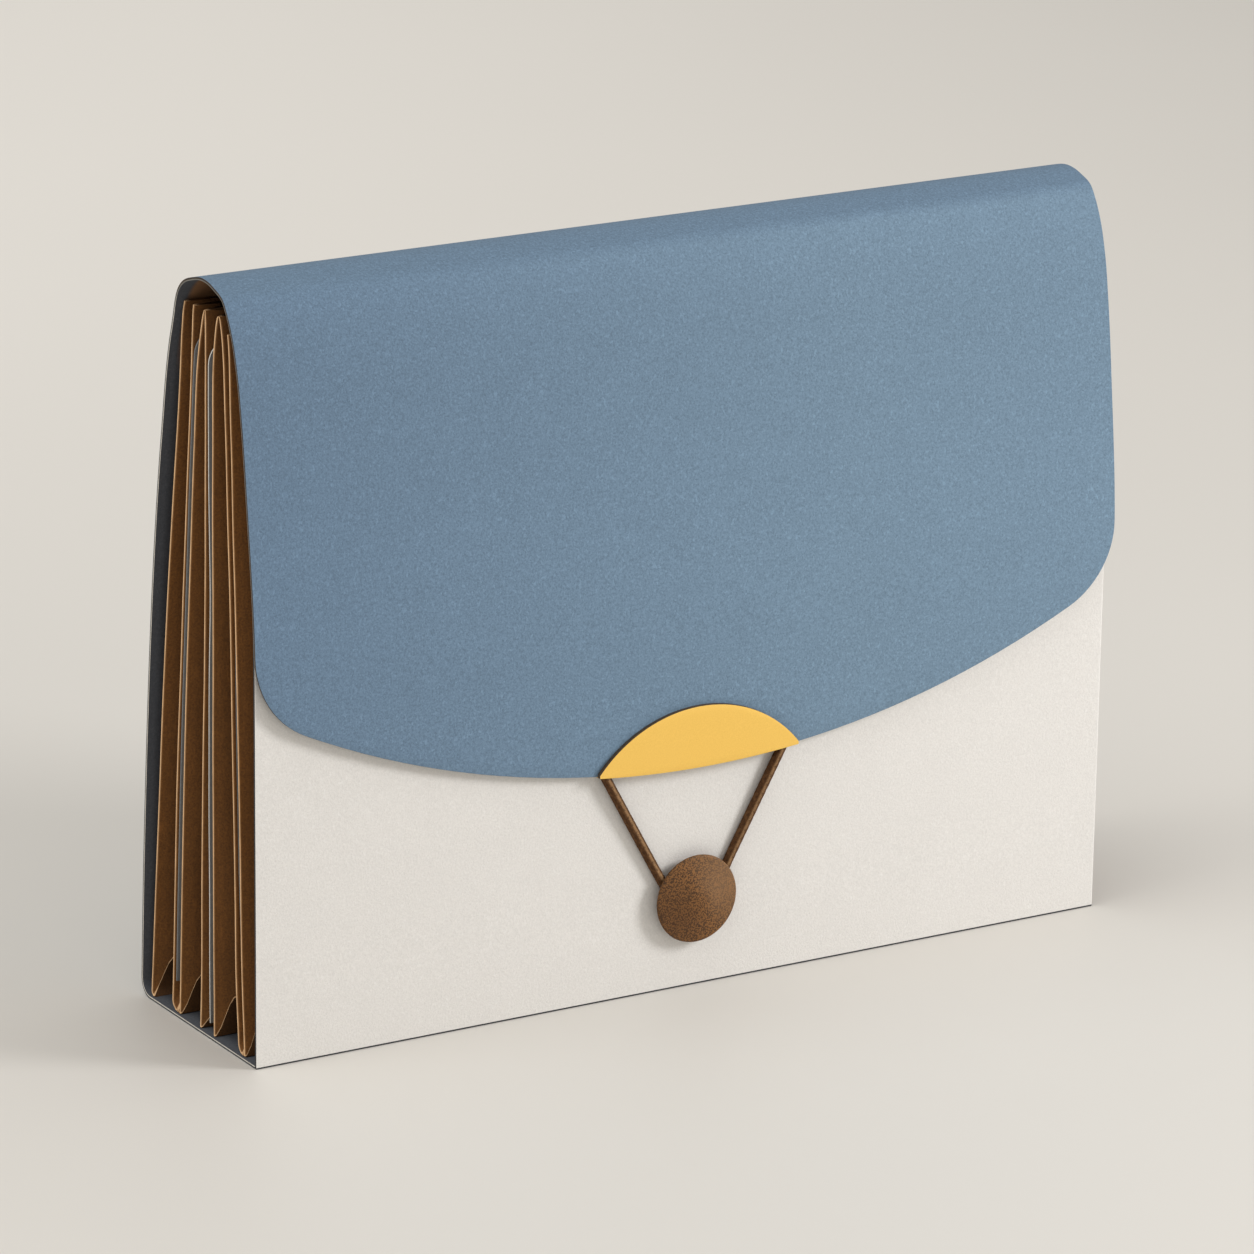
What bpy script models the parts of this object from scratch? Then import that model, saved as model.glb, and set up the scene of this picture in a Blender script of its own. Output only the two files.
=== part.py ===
"""Expanding file folder: a wrap-around cover whose flap rolls over the top, pleated kraft
gussets at both sides and under each pocket, three dividers, and an elastic loop that hooks
round a button.

Metres, +Z up, +X across the width, -Y towards the front. The sizes are laid out from the
crease between the bottom and the front panel, and ORIGIN_Y then moves the origin to the
middle of the underside of the whole folder.
"""

import math

import bmesh
import bpy
import numpy as np
from mathutils import Matrix, Vector

# Overall sizes
WIDTH = 0.330
HEIGHT = 0.2607
BASE_DEPTH = 0.0845
CLEARANCE = 0.0003

# Cover board: outer face from the foot of the back, over the roll, to the flap's tip,
# each point as (share of BASE_DEPTH behind the front crease, share of HEIGHT)
COVER_BOARD = 0.0010
CORNER_RADIUS = 0.0060
BACK_SHARES = (
    (0.995, 0.024),
    (0.969, 0.153),
    (0.930, 0.306),
    (0.883, 0.459),
    (0.825, 0.612),
    (0.748, 0.765),
    (0.641, 0.918),
    (0.603, 0.949),
    (0.556, 0.971),
)
ROLL_SHARES = (
    (0.500, 0.986),
    (0.420, 0.9955),
    (0.340, 1.000),
    (0.287, 0.9985),
    (0.237, 0.994),
    (0.168, 0.984),
    (0.132, 0.968),
)
FLAP_SHARES = (
    (0.095, 0.944),
    (0.053, 0.899),
    (0.021, 0.838),
    (-0.019, 0.727),
    (-0.065, 0.555),
    (-0.059, 0.382),
    (-0.051, 0.296),
)

# Flap outline: a shallow arc below, blended into the sides by large corner arcs
FLAP_OVERHANG = 0.0015
FLAP_TIP_HEIGHT = 0.3053 * HEIGHT
FLAP_ARC_RADIUS = 0.3405
FLAP_CORNER_RADIUS = 0.0320

# Front panel
FRONT_HEIGHT = 0.9053 * HEIGHT
FRONT_LEAN_SHARE = 0.0179
FRONT_GAP = 0.0008
FRONT_BEND = 0.0030

# Dividers: place between the front and back panels at foot, middle and top
DIVIDER_HEIGHT = 0.9283 * HEIGHT
DIVIDER_SHEET = 0.0006
DIVIDER_INSET = 0.0027
DIVIDER_SHARES = (
    (0.735, 0.716, 0.702),
    (0.423, 0.475, 0.482),
    (0.146, 0.244, 0.234),
)

# Kraft gussets. Each divider's ridges stand off its middle plane: behind it and in front,
# each as (at the foot, from half height up)
KRAFT = 0.0005
RIDGE_STANDS = (
    ((0.0029, 0.0019), (0.0026, 0.0018)),
    ((0.0054, 0.0033), (0.0022, 0.0020)),
    ((0.0019, 0.0018), (0.0019, 0.0018)),
)
PLEAT_LEAF = 0.195 * BASE_DEPTH
PLEAT_INSET = 0.0020
PLEAT_TOP = 0.9417 * HEIGHT
RIDGE_RADIUS = 0.0009
GLUE_MARGIN = 0.0080
MITRE_SLOPE_SHARE = 1.15
REAR_PLEAT_FOOT = 0.0033
REAR_PLEAT_MIDDLE = 0.0063
REAR_PLEAT_TOP = 0.0040
REAR_FOLD_SHARE = 0.85

# Half-moon tab on the flap's tip and its backing behind the board
TAB_SHEET = 0.0008
BACKING_SHEET = 0.0005
TAB_RADIUS = 0.0484
TAB_RISE = 0.0210
TAB_LIP = 0.0007
TAB_TIP = 0.0010

# Button: head, collar, rivet and inner washer, on an axis square to the front panel.
# The head is a shallow cone whose point is rounded off over a share of its radius
BUTTON_HEIGHT = 0.1251 * HEIGHT
HEAD_RADIUS = 0.0155
HEAD_EDGE = 0.0015
HEAD_CROWN = 0.0024
HEAD_SOFT_SHARE = 0.25
HEAD_SOCKET = 0.0012
EDGE_ROUND = 0.0005
COLLAR_RADIUS = 0.0055
RIVET_RADIUS = 0.0018
RIVET_HEAD_RADIUS = 0.0042
RIVET_HEAD = 0.0008
WASHER_RADIUS = 0.0080
WASHER_SHEET = 0.0008

# Elastic loop
CORD_DIAMETER = 0.0027
LOOP_SPREAD = 0.0342
TONGUE_WIDTH = 0.0024
TONGUE_THICKNESS = 0.0006
TONGUE_LENGTH = 0.0050

# Facets
COVER_STEPS = 400
PANEL_ROWS = 18
TURN_ROWS = 6
ROLL_ROWS = 6
FLAP_ROWS = 14
FLAP_ROW_CROWDING = 1.3
ARC_COLUMNS = 16
CORNER_COLUMNS = 7
MOON_COLUMNS = 24
MOON_ROWS = 4
FOLD_STEPS = 4
PLEAT_ROWS = 12
HEAD_ROWS = 6
LOOP_STEPS = 12
CORD_RESOLUTION = 2
ROUND_STEPS = 48
SHARP_DEGREES = 40
MERGE = 0.00001
CUT_OVERRUN = 0.002


def smooth_line(points, steps):
    """A dense line through hand-set points, as a cubic with chord-length tangents."""
    points = np.array(points, float)
    knots = np.concatenate([[0.0], np.cumsum(np.linalg.norm(np.diff(points, axis=0), axis=1))])
    tangents = np.gradient(points, knots, axis=0)
    places = np.linspace(0.0, knots[-1], steps)
    span = np.clip(np.searchsorted(knots, places, side="right") - 1, 0, len(knots) - 2)
    length = (knots[span + 1] - knots[span])[:, None]
    share = ((places - knots[span])[:, None]) / length
    start, end = points[span], points[span + 1]
    leave, arrive = tangents[span] * length, tangents[span + 1] * length
    line = (
        (2 * share**3 - 3 * share**2 + 1) * start
        + (share**3 - 2 * share**2 + share) * leave
        + (3 * share**2 - 2 * share**3) * end
        + (share**3 - share**2) * arrive
    )
    return line, knots


def three_point(values, share):
    """A smooth value through three, given at shares 0, a half and 1."""
    foot, middle, top = values
    return (
        foot * (1 - share) * (1 - 2 * share)
        + middle * 4 * share * (1 - share)
        + top * share * (2 * share - 1)
    )


# The cover's outer face as one line in (y, z), with its length and inward normals
PLACES = [
    (y * BASE_DEPTH, z * HEIGHT) for y, z in BACK_SHARES + ROLL_SHARES + FLAP_SHARES
]
COVER_LINE, COVER_KNOTS = smooth_line(PLACES, COVER_STEPS)
COVER_LENGTHS = np.linspace(0.0, COVER_KNOTS[-1], COVER_STEPS)
COVER_TANGENTS = np.gradient(COVER_LINE, axis=0)
COVER_TANGENTS /= np.linalg.norm(COVER_TANGENTS, axis=1)[:, None]
ROLL_START = COVER_KNOTS[len(BACK_SHARES) - 1]
ROLL_END = COVER_KNOTS[len(BACK_SHARES) + len(ROLL_SHARES) - 1]
CREASES = (ROLL_START, (ROLL_START + ROLL_END) / 2, ROLL_END)


def cover_point(length, depth):
    """(y, z) at a length along the cover, and a depth inside its outer face."""
    y, z = (np.interp(length, COVER_LENGTHS, COVER_LINE[:, i]) for i in (0, 1))
    along_y, along_z = (np.interp(length, COVER_LENGTHS, COVER_TANGENTS[:, i]) for i in (0, 1))
    return y - along_z * depth, z + along_y * depth


def face_at(z, depth, in_front):
    """(length, y) where a line this far inside the cover's outer face has this height."""
    line_y, line_z = cover_point(COVER_LENGTHS, depth)
    peak = int(np.argmax(line_z))
    if in_front:
        z, line_y, line_z, lengths = -z, line_y[peak:], -line_z[peak:], COVER_LENGTHS[peak:]
    else:
        line_y, line_z, lengths = line_y[:peak], line_z[:peak], COVER_LENGTHS[:peak]
    return float(np.interp(z, line_z, lengths)), float(np.interp(z, line_z, line_y))


def back_face(z):
    """y of the back panel's inner face, above the corner at its foot."""
    return face_at(z, COVER_BOARD, False)[1]


def corner_face(z):
    """y of the inner face of the rounded corner at the back panel's foot."""
    inner = CORNER_RADIUS - COVER_BOARD
    drop = min(max(CORNER_RADIUS - z, 0.0), inner)
    return PLACES[0][0] - CORNER_RADIUS + math.sqrt(inner**2 - drop**2)


def flap_face(z, depth):
    """y inside (or, where negative, in front of) the flap's outer face."""
    return face_at(z, depth, True)[1]


def front_outside(z):
    """y of the front panel's outer face: straight and leaning out, then following the flap."""
    leaning = -FRONT_LEAN_SHARE * z
    under_flap = flap_face(max(z, FLAP_TIP_HEIGHT), COVER_BOARD) + FRONT_GAP
    apart = math.hypot(leaning - under_flap, FRONT_BEND * z / FRONT_HEIGHT)
    return (leaning + under_flap + apart) / 2


def front_face(z):
    """y of the front panel's inner face."""
    return front_outside(z) + COVER_BOARD


def divider_middle(index, z):
    """y of a divider's middle plane."""
    share = three_point(DIVIDER_SHARES[index], z / DIVIDER_HEIGHT)
    return front_face(z) + share * (back_face(z) - front_face(z))


# Where the button stands, and how far the folder reaches in front of the crease
BUTTON_TILT = math.atan(FRONT_LEAN_SHARE)
CORD_GAP = CLEARANCE + CORD_DIAMETER + CLEARANCE
HEAD_DEPTH = HEAD_EDGE + HEAD_CROWN
FRONT_REACH = (CORD_GAP + HEAD_DEPTH) / math.cos(BUTTON_TILT) - front_outside(BUTTON_HEIGHT)
BACK_REACH = BACK_SHARES[0][0] * BASE_DEPTH
ORIGIN_Y = (BACK_REACH - FRONT_REACH) / 2


def clear_scene():
    for obj in list(bpy.data.objects):
        bpy.data.objects.remove(obj, do_unlink=True)


def new_collection(name):
    collection = bpy.data.collections.new(name)
    bpy.context.scene.collection.children.link(collection)
    return collection


def material(name, colour, roughness, metallic=0.0):
    made = bpy.data.materials.new(name)
    made.use_nodes = True
    shader = made.node_tree.nodes["Principled BSDF"]
    shader.inputs["Base Color"].default_value = (*colour, 1.0)
    shader.inputs["Roughness"].default_value = roughness
    shader.inputs["Metallic"].default_value = metallic
    return made


def add_object(name, mesh, look, parent=None):
    """Links an object, moved from the layout's y to the origin's."""
    obj = bpy.data.objects.new(name, mesh)
    FOLDER.objects.link(obj)
    mesh.materials.append(look)
    mesh.transform(Matrix.Translation((0.0, -ORIGIN_Y, 0.0)))
    if parent is not None:
        obj.parent = parent
        obj.matrix_parent_inverse = parent.matrix_world.inverted()
    return obj


def pivot(name, y, z, parent=None):
    """An empty on a crease, whose X axis is the axis that the pieces under it turn on."""
    empty = bpy.data.objects.new(name, None)
    FOLDER.objects.link(empty)
    empty.matrix_world = Matrix.Translation((0.0, y - ORIGIN_Y, z))
    if parent is not None:
        empty.parent = parent
        empty.matrix_parent_inverse = parent.matrix_world.inverted()
    bpy.context.view_layer.update()
    return empty


def sheet(name, columns, rows, place, thickness, look, parent=None):
    """A grid laid on the middle of a sheet by place(column, row), then given its thickness."""
    bm = bmesh.new()
    bmesh.ops.create_grid(bm, x_segments=columns, y_segments=rows, size=0.5)
    for vert in bm.verts:
        column = round((vert.co.x + 0.5) * columns)
        row = round((vert.co.y + 0.5) * rows)
        vert.co = place(column, row)
    mesh = bpy.data.meshes.new(name)
    bm.to_mesh(mesh)
    bm.free()
    mesh.shade_smooth()
    mesh.set_sharp_from_angle(angle=math.radians(SHARP_DEGREES))
    obj = add_object(name, mesh, look, parent)
    solidify = obj.modifiers.new("Solidify", "SOLIDIFY")
    solidify.thickness = thickness
    solidify.offset = 0.0
    solidify.use_even_offset = True
    return obj


def turned(name, profile, look, parent, spot):
    """A profile of (radius, height above the front panel) turned about an axis square to it."""
    bm = bmesh.new()
    verts = [bm.verts.new((radius, 0.0, height)) for radius, height in profile]
    closed = profile[0][0] > 0.0
    for start, end in zip(verts, verts[1:] + verts[:1] if closed else verts[1:]):
        bm.edges.new((start, end))
    mesh = bpy.data.meshes.new(name)
    bm.to_mesh(mesh)
    bm.free()
    obj = bpy.data.objects.new(name, mesh)
    FOLDER.objects.link(obj)
    mesh.materials.append(look)
    obj.parent = parent
    obj.matrix_parent_inverse = parent.matrix_world.inverted()
    obj.matrix_world = spot
    screw = obj.modifiers.new("Screw", "SCREW")
    screw.steps = ROUND_STEPS
    screw.render_steps = ROUND_STEPS
    screw.use_merge_vertices = True
    screw.merge_threshold = MERGE
    screw.use_smooth_shade = True
    return obj


def helper(name, mesh):
    """A cutter or a piece for a Boolean, outside the folder's own collection."""
    obj = bpy.data.objects.new(name, mesh)
    HELPERS.objects.link(obj)
    obj.hide_render = True
    obj.display_type = "WIRE"
    return obj


def box_mesh(name, low, high):
    """A box between two corners in the layout, moved to the origin's y."""
    low, high = Vector(low), Vector(high)
    bm = bmesh.new()
    bmesh.ops.create_cube(bm, size=1.0)
    size = high - low
    middle = (low + high) / 2 - Vector((0.0, ORIGIN_Y, 0.0))
    for vert in bm.verts:
        vert.co = Vector(a * b for a, b in zip(vert.co, size)) + middle
    mesh = bpy.data.meshes.new(name)
    bm.to_mesh(mesh)
    bm.free()
    return mesh


def boolean(obj, operation, other):
    modifier = obj.modifiers.new(operation.title(), "BOOLEAN")
    modifier.operation = operation
    modifier.solver = "EXACT"
    modifier.object = other


def cover_strip(name, start, end, rows, half_width, look, parent=None):
    """A stretch of the cover between two lengths along it, cut square to the board."""

    def place(column, row):
        length = start + (end - start) * row / rows
        y, z = cover_point(length, COVER_BOARD / 2)
        return Vector(((2 * column - 1) * half_width, y, z))

    return sheet(name, 1, rows, place, COVER_BOARD, look, parent)


def back_and_bottom():
    """The back panel turns the rounded corner at its foot, and meets the flat bottom there."""
    half = WIDTH / 2
    foot_y, foot_z = PLACES[0]
    radius = CORNER_RADIUS - COVER_BOARD / 2
    corner = (foot_y - CORNER_RADIUS, CORNER_RADIUS)
    crease = CREASES[0] - CLEARANCE / 2
    rows = TURN_ROWS + 2 * PANEL_ROWS

    def place(column, row):
        if row < TURN_ROWS:
            angle = math.radians(-90 + 90 * row / TURN_ROWS)
            y = corner[0] + radius * math.cos(angle)
            z = corner[1] + radius * math.sin(angle)
        else:
            share = (row - TURN_ROWS) / (rows - TURN_ROWS)
            y, z = cover_point(crease * share, COVER_BOARD / 2)
        return Vector(((2 * column - 1) * half, y, z))

    sheet("back_panel", 1, rows, place, COVER_BOARD, BLUE)
    low = (-half, COVER_BOARD + CLEARANCE, 0.0)
    high = (half, corner[0] - CLEARANCE, COVER_BOARD)
    bottom = bpy.data.objects.new("bottom_panel", box_mesh("bottom_panel", low, high))
    FOLDER.objects.link(bottom)
    bottom.data.materials.append(SLATE)


def flap_edge(column):
    """(x, z) on the flap's lower outline: left corner, long arc, right corner."""
    half = WIDTH / 2 + FLAP_OVERHANG
    radius = FLAP_CORNER_RADIUS
    arc_z = FLAP_TIP_HEIGHT + FLAP_ARC_RADIUS
    corner_x = half - radius
    corner_z = arc_z - math.sqrt((FLAP_ARC_RADIUS - radius) ** 2 - corner_x**2)
    tangent = math.atan2(corner_z - arc_z, corner_x)
    last = 2 * CORNER_COLUMNS + ARC_COLUMNS
    side = -1 if column < last / 2 else 1
    step = min(column, last - column)
    if step <= CORNER_COLUMNS:
        angle = tangent * step / CORNER_COLUMNS
        return side * (corner_x + radius * math.cos(angle)), corner_z + radius * math.sin(angle)
    share = (step - CORNER_COLUMNS) / (ARC_COLUMNS / 2)
    angle = tangent + (-math.pi / 2 - tangent) * share
    return side * FLAP_ARC_RADIUS * math.cos(angle), arc_z + FLAP_ARC_RADIUS * math.sin(angle)


def roll_and_flap():
    """Two strips of the roll and the flap, each on the crease before it."""
    half = WIDTH / 2 + FLAP_OVERHANG
    gap = CLEARANCE / 2
    spots = [cover_point(crease, 0.0) for crease in CREASES]
    first = pivot("roll_rear_crease", *spots[0])
    second = pivot("roll_top_crease", *spots[1], first)
    third = pivot("roll_front_crease", *spots[2], second)
    cover_strip("roll_rear", CREASES[0] + gap, CREASES[1] - gap, ROLL_ROWS, half, BLUE, first)
    cover_strip("roll_front", CREASES[1] + gap, CREASES[2] - gap, ROLL_ROWS, half, BLUE, second)
    start = CREASES[2] + gap

    def place(column, row):
        x, low = flap_edge(column)
        end = face_at(low, COVER_BOARD / 2, True)[0]
        share = (row / FLAP_ROWS) ** FLAP_ROW_CROWDING
        y, z = cover_point(start + (end - start) * share, COVER_BOARD / 2)
        return Vector((x, y, z))

    columns = 2 * CORNER_COLUMNS + ARC_COLUMNS
    flap = sheet("flap_panel", columns, FLAP_ROWS, place, COVER_BOARD, BLUE, third)
    for side in (-1, 1):
        x = side * LOOP_SPREAD
        low, high = loop_end_heights()
        reach = TONGUE_WIDTH / 2 + CLEARANCE
        face = flap_face(high, 0.0)
        notch = helper(
            f"notch_cutter_{'left' if side < 0 else 'right'}",
            box_mesh(
                "notch",
                (x - reach, face - CUT_OVERRUN, low - CUT_OVERRUN),
                (x + reach, face + COVER_BOARD + CUT_OVERRUN, high + CLEARANCE),
            ),
        )
        boolean(flap, "DIFFERENCE", notch)
    return third


def tab_bounds(x):
    """(low, high) of the half-moon at this x."""
    arc_z = FLAP_TIP_HEIGHT + FLAP_ARC_RADIUS
    low = arc_z - math.sqrt((FLAP_ARC_RADIUS + TAB_LIP) ** 2 - x * x)
    top = FLAP_TIP_HEIGHT + TAB_RISE
    high = top - TAB_RADIUS + math.sqrt(TAB_RADIUS**2 - x * x)
    return low, high


def tab_half_width():
    """x where the half-moon has narrowed to its blunt tip."""
    places = np.linspace(0.0, TAB_RADIUS, COVER_STEPS)
    spare = [high - low - TAB_TIP for low, high in map(tab_bounds, places)]
    return float(np.interp(0.0, spare[::-1], places[::-1]))


def half_moon(name, out, thickness, look, parent):
    """The tab's half-moon, its middle this far in front of the flap's outer face."""
    reach = tab_half_width()

    def place(column, row):
        x = reach * math.sin(math.radians(-90 + 180 * column / MOON_COLUMNS))
        low, high = tab_bounds(x)
        z = low + (high - low) * row / MOON_ROWS
        return Vector((x, flap_face(z, -out), z))

    return sheet(name, MOON_COLUMNS, MOON_ROWS, place, thickness, look, parent)


def tab_and_backing(parent):
    half_moon("tab", CLEARANCE + TAB_SHEET / 2, TAB_SHEET, YELLOW, parent)
    behind = -(COVER_BOARD + CLEARANCE + BACKING_SHEET / 2)
    half_moon("tab_backing", behind, BACKING_SHEET, YELLOW, parent)


def front_panel(parent):
    """The front board, with the hole that the button's rivet passes."""
    low, high = CLEARANCE, FRONT_HEIGHT

    def place(column, row):
        z = low + (high - low) * row / PANEL_ROWS
        return Vector(((2 * column - 1) * WIDTH / 2, front_outside(z) + COVER_BOARD / 2, z))

    panel = sheet("front_panel", 1, PANEL_ROWS, place, COVER_BOARD, CREAM, parent)
    bm = bmesh.new()
    bmesh.ops.create_cone(
        bm,
        cap_ends=True,
        segments=ROUND_STEPS,
        radius1=RIVET_RADIUS + CLEARANCE,
        radius2=RIVET_RADIUS + CLEARANCE,
        depth=2 * (COVER_BOARD + CUT_OVERRUN),
    )
    mesh = bpy.data.meshes.new("rivet_hole")
    bm.to_mesh(mesh)
    bm.free()
    cutter = helper("rivet_hole_cutter", mesh)
    cutter.matrix_world = button_spot()
    boolean(panel, "DIFFERENCE", cutter)


def button_spot():
    """The button's axis: its local Z stands square out of the front panel's outer face."""
    place = Matrix.Translation((0.0, front_outside(BUTTON_HEIGHT) - ORIGIN_Y, BUTTON_HEIGHT))
    return place @ Matrix.Rotation(math.radians(90) + BUTTON_TILT, 4, "X")


def cone_share(share):
    """How far up the head's cone is at a share of its radius: 1 in the middle, 0 at the rim."""
    soft = HEAD_SOFT_SHARE
    return (math.hypot(1.0, soft) - math.hypot(share, soft)) / (math.hypot(1.0, soft) - soft)


def button(parent):
    """A shallow conical head on a collar, riveted through the board to a washer inside."""
    spot = button_spot()
    under = CORD_GAP
    bore = RIVET_RADIUS + CLEARANCE
    socket = under + HEAD_SOCKET
    cone = [
        (
            (HEAD_RADIUS - EDGE_ROUND) * row / HEAD_ROWS,
            under + HEAD_EDGE + HEAD_CROWN * cone_share(row / HEAD_ROWS),
        )
        for row in range(HEAD_ROWS + 1)
    ]
    head = cone + [
        (HEAD_RADIUS, under + HEAD_EDGE - EDGE_ROUND),
        (HEAD_RADIUS, under + EDGE_ROUND),
        (HEAD_RADIUS - EDGE_ROUND, under),
        (bore, under),
        (bore, socket + CLEARANCE),
        (0.0, socket + CLEARANCE),
    ]
    turned("button_head", head, BROWN, parent, spot)
    collar = [
        (COLLAR_RADIUS, under - CLEARANCE),
        (COLLAR_RADIUS, CLEARANCE),
        (bore, CLEARANCE),
        (bore, under - CLEARANCE),
    ]
    turned("button_collar", collar, BROWN, parent, spot)
    inside = -(COVER_BOARD + CLEARANCE)
    washer = [
        (WASHER_RADIUS, inside),
        (WASHER_RADIUS, inside - WASHER_SHEET),
        (bore, inside - WASHER_SHEET),
        (bore, inside),
    ]
    turned("button_washer", washer, METAL, parent, spot)
    rivet_low = inside - WASHER_SHEET - CLEARANCE
    rivet = [
        (0.0, socket),
        (RIVET_RADIUS, socket),
        (RIVET_RADIUS, rivet_low),
        (RIVET_HEAD_RADIUS, rivet_low),
        (RIVET_HEAD_RADIUS - EDGE_ROUND, rivet_low - RIVET_HEAD),
        (0.0, rivet_low - RIVET_HEAD),
    ]
    turned("button_rivet", rivet, METAL, parent, spot)


def loop_end_heights():
    """z where the round cord stops under the tab, and where its flat tongue ends."""
    low = tab_bounds(LOOP_SPREAD)[0] - CLEARANCE - TAB_LIP
    return low, low + TAB_LIP + CLEARANCE + TONGUE_LENGTH


def elastic_loop(parent):
    """A round cord from the tab, down one leg, round the collar and up the other leg."""
    radius = CORD_DIAMETER / 2
    bend = COLLAR_RADIUS + CLEARANCE + radius
    end_z, tongue_z = loop_end_heights()
    end_y = flap_face(tongue_z, COVER_BOARD / 2)
    panel_y = front_outside(BUTTON_HEIGHT) - (CLEARANCE + radius)
    away = Vector((LOOP_SPREAD, end_z - BUTTON_HEIGHT))
    lean = math.atan2(away.x, away.y) + math.acos(bend / away.length)
    touch = math.pi / 2 - lean
    points = [Vector((-LOOP_SPREAD, end_y, end_z))]
    for step in range(LOOP_STEPS + 1):
        angle = math.pi - touch + (math.pi + 2 * touch) * step / LOOP_STEPS
        x, z = bend * math.cos(angle), BUTTON_HEIGHT + bend * math.sin(angle)
        points.append(Vector((x, panel_y, z)))
    points.append(Vector((LOOP_SPREAD, end_y, end_z)))
    rim = HEAD_RADIUS + CORD_DIAMETER
    leg = Vector((LOOP_SPREAD - points[-2].x, end_z - points[-2].z))
    clear = points[-2].x + leg.x * rim / leg.length, points[-2].z + leg.y * rim / leg.length
    points.insert(-1, Vector((clear[0], panel_y, clear[1])))
    points.insert(1, Vector((-clear[0], panel_y, clear[1])))
    curve = bpy.data.curves.new("elastic_loop", "CURVE")
    curve.dimensions = "3D"
    curve.bevel_depth = radius
    curve.bevel_resolution = CORD_RESOLUTION
    curve.use_fill_caps = True
    spline = curve.splines.new("POLY")
    spline.points.add(len(points) - 1)
    for place, point in zip(points, spline.points):
        point.co = (place.x, place.y - ORIGIN_Y, place.z, 1.0)
    guide = bpy.data.objects.new("loop_guide", curve)
    HELPERS.objects.link(guide)
    graph = bpy.context.evaluated_depsgraph_get()
    mesh = bpy.data.meshes.new_from_object(guide.evaluated_get(graph))
    bpy.data.objects.remove(guide)
    bm = bmesh.new()
    bm.from_mesh(mesh)
    bmesh.ops.remove_doubles(bm, verts=bm.verts, dist=MERGE)
    bm.to_mesh(mesh)
    bm.free()
    mesh.shade_smooth()
    mesh.set_sharp_from_angle(angle=math.radians(SHARP_DEGREES))
    mesh.materials.clear()
    mesh.materials.append(CORD)
    loop = bpy.data.objects.new("elastic_loop", mesh)
    FOLDER.objects.link(loop)
    loop.parent = parent
    loop.matrix_parent_inverse = parent.matrix_world.inverted()
    for side in (-1, 1):
        x = side * LOOP_SPREAD
        half_y = TONGUE_THICKNESS / 2
        tongue = helper(
            f"loop_tongue_{'left' if side < 0 else 'right'}",
            box_mesh(
                "loop_tongue",
                (x - TONGUE_WIDTH / 2, end_y - half_y, end_z - radius),
                (x + TONGUE_WIDTH / 2, end_y + half_y, tongue_z),
            ),
        )
        boolean(loop, "UNION", tongue)


def divider(index, parent):
    """A sheet between two pockets, standing just over the bottom panel."""
    half = WIDTH / 2 - DIVIDER_INSET
    low = COVER_BOARD + CLEARANCE + KRAFT

    def place(column, row):
        z = low + (DIVIDER_HEIGHT - low) * row / PANEL_ROWS
        return Vector(((2 * column - 1) * half, divider_middle(index, z), z))

    sheet(f"divider_{index + 1}", 1, PANEL_ROWS, place, DIVIDER_SHEET, GREY, parent)


def pocket_faces(pocket, z):
    """y of the faces behind and in front of a pocket, counted from the back."""
    half = DIVIDER_SHEET / 2
    rear = back_face(z) if pocket == 0 else divider_middle(pocket - 1, z) - half
    front = front_face(z) if pocket == 3 else divider_middle(pocket, z) + half
    return rear, front


def fold_arc(centre, inward, outwards):
    """A rounded fold seen from above, run from back to front, its tip at this inward place."""
    arc = []
    for step in range(FOLD_STEPS + 1):
        angle = math.pi * step / FOLD_STEPS
        back = outwards * RIDGE_RADIUS * (1 - math.sin(angle))
        arc.append((inward + back, centre + RIDGE_RADIUS * math.cos(angle)))
    return arc


def ridge_stand(index, side, z):
    """How far a ridge stands off a divider's middle plane: side 0 is behind it, 1 in front."""
    foot, upper = RIDGE_STANDS[index][side]
    return foot + (upper - foot) * min(2 * z / PLEAT_TOP, 1.0)


def pleat_section(pocket, z):
    """(inward, y) along one pocket's folded strip at a height, from back to front."""
    rear, front = pocket_faces(pocket, z)
    seat = CLEARANCE + KRAFT / 2
    if pocket == 0:
        standing = (REAR_PLEAT_FOOT, REAR_PLEAT_MIDDLE, REAR_PLEAT_TOP)
        ridge = min(
            rear - three_point(standing, z / PLEAT_TOP),
            corner_face(z) - seat - RIDGE_RADIUS - CLEARANCE,
        )
    else:
        ridge = divider_middle(pocket - 1, z) - ridge_stand(pocket - 1, 1, z)
    front_ridge = front + seat + RIDGE_RADIUS
    if pocket < 3:
        front_ridge = divider_middle(pocket, z) + ridge_stand(pocket, 0, z)
    valley = (ridge + front_ridge) / 2
    depth = math.sqrt(PLEAT_LEAF**2 - (ridge - valley) ** 2)
    margin = [(GLUE_MARGIN, rear - seat)]
    if pocket == 0:
        crease = depth * REAR_FOLD_SHARE
        margin = [(crease + GLUE_MARGIN, rear - seat), (crease, rear - seat)]
    return (
        margin
        + fold_arc(ridge, 0.0, 1)
        + fold_arc(valley, depth, -1)
        + fold_arc(front_ridge, 0.0, 1)
        + [(GLUE_MARGIN, front + seat)]
    )


def tent_foot():
    """Lowest middle line of the kraft, clear of the bottom panel."""
    return COVER_BOARD + CLEARANCE + KRAFT


def mitre_height(inward):
    """z of the mitre where the side strip turns under the pocket."""
    return tent_foot() + inward * MITRE_SLOPE_SHARE


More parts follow.
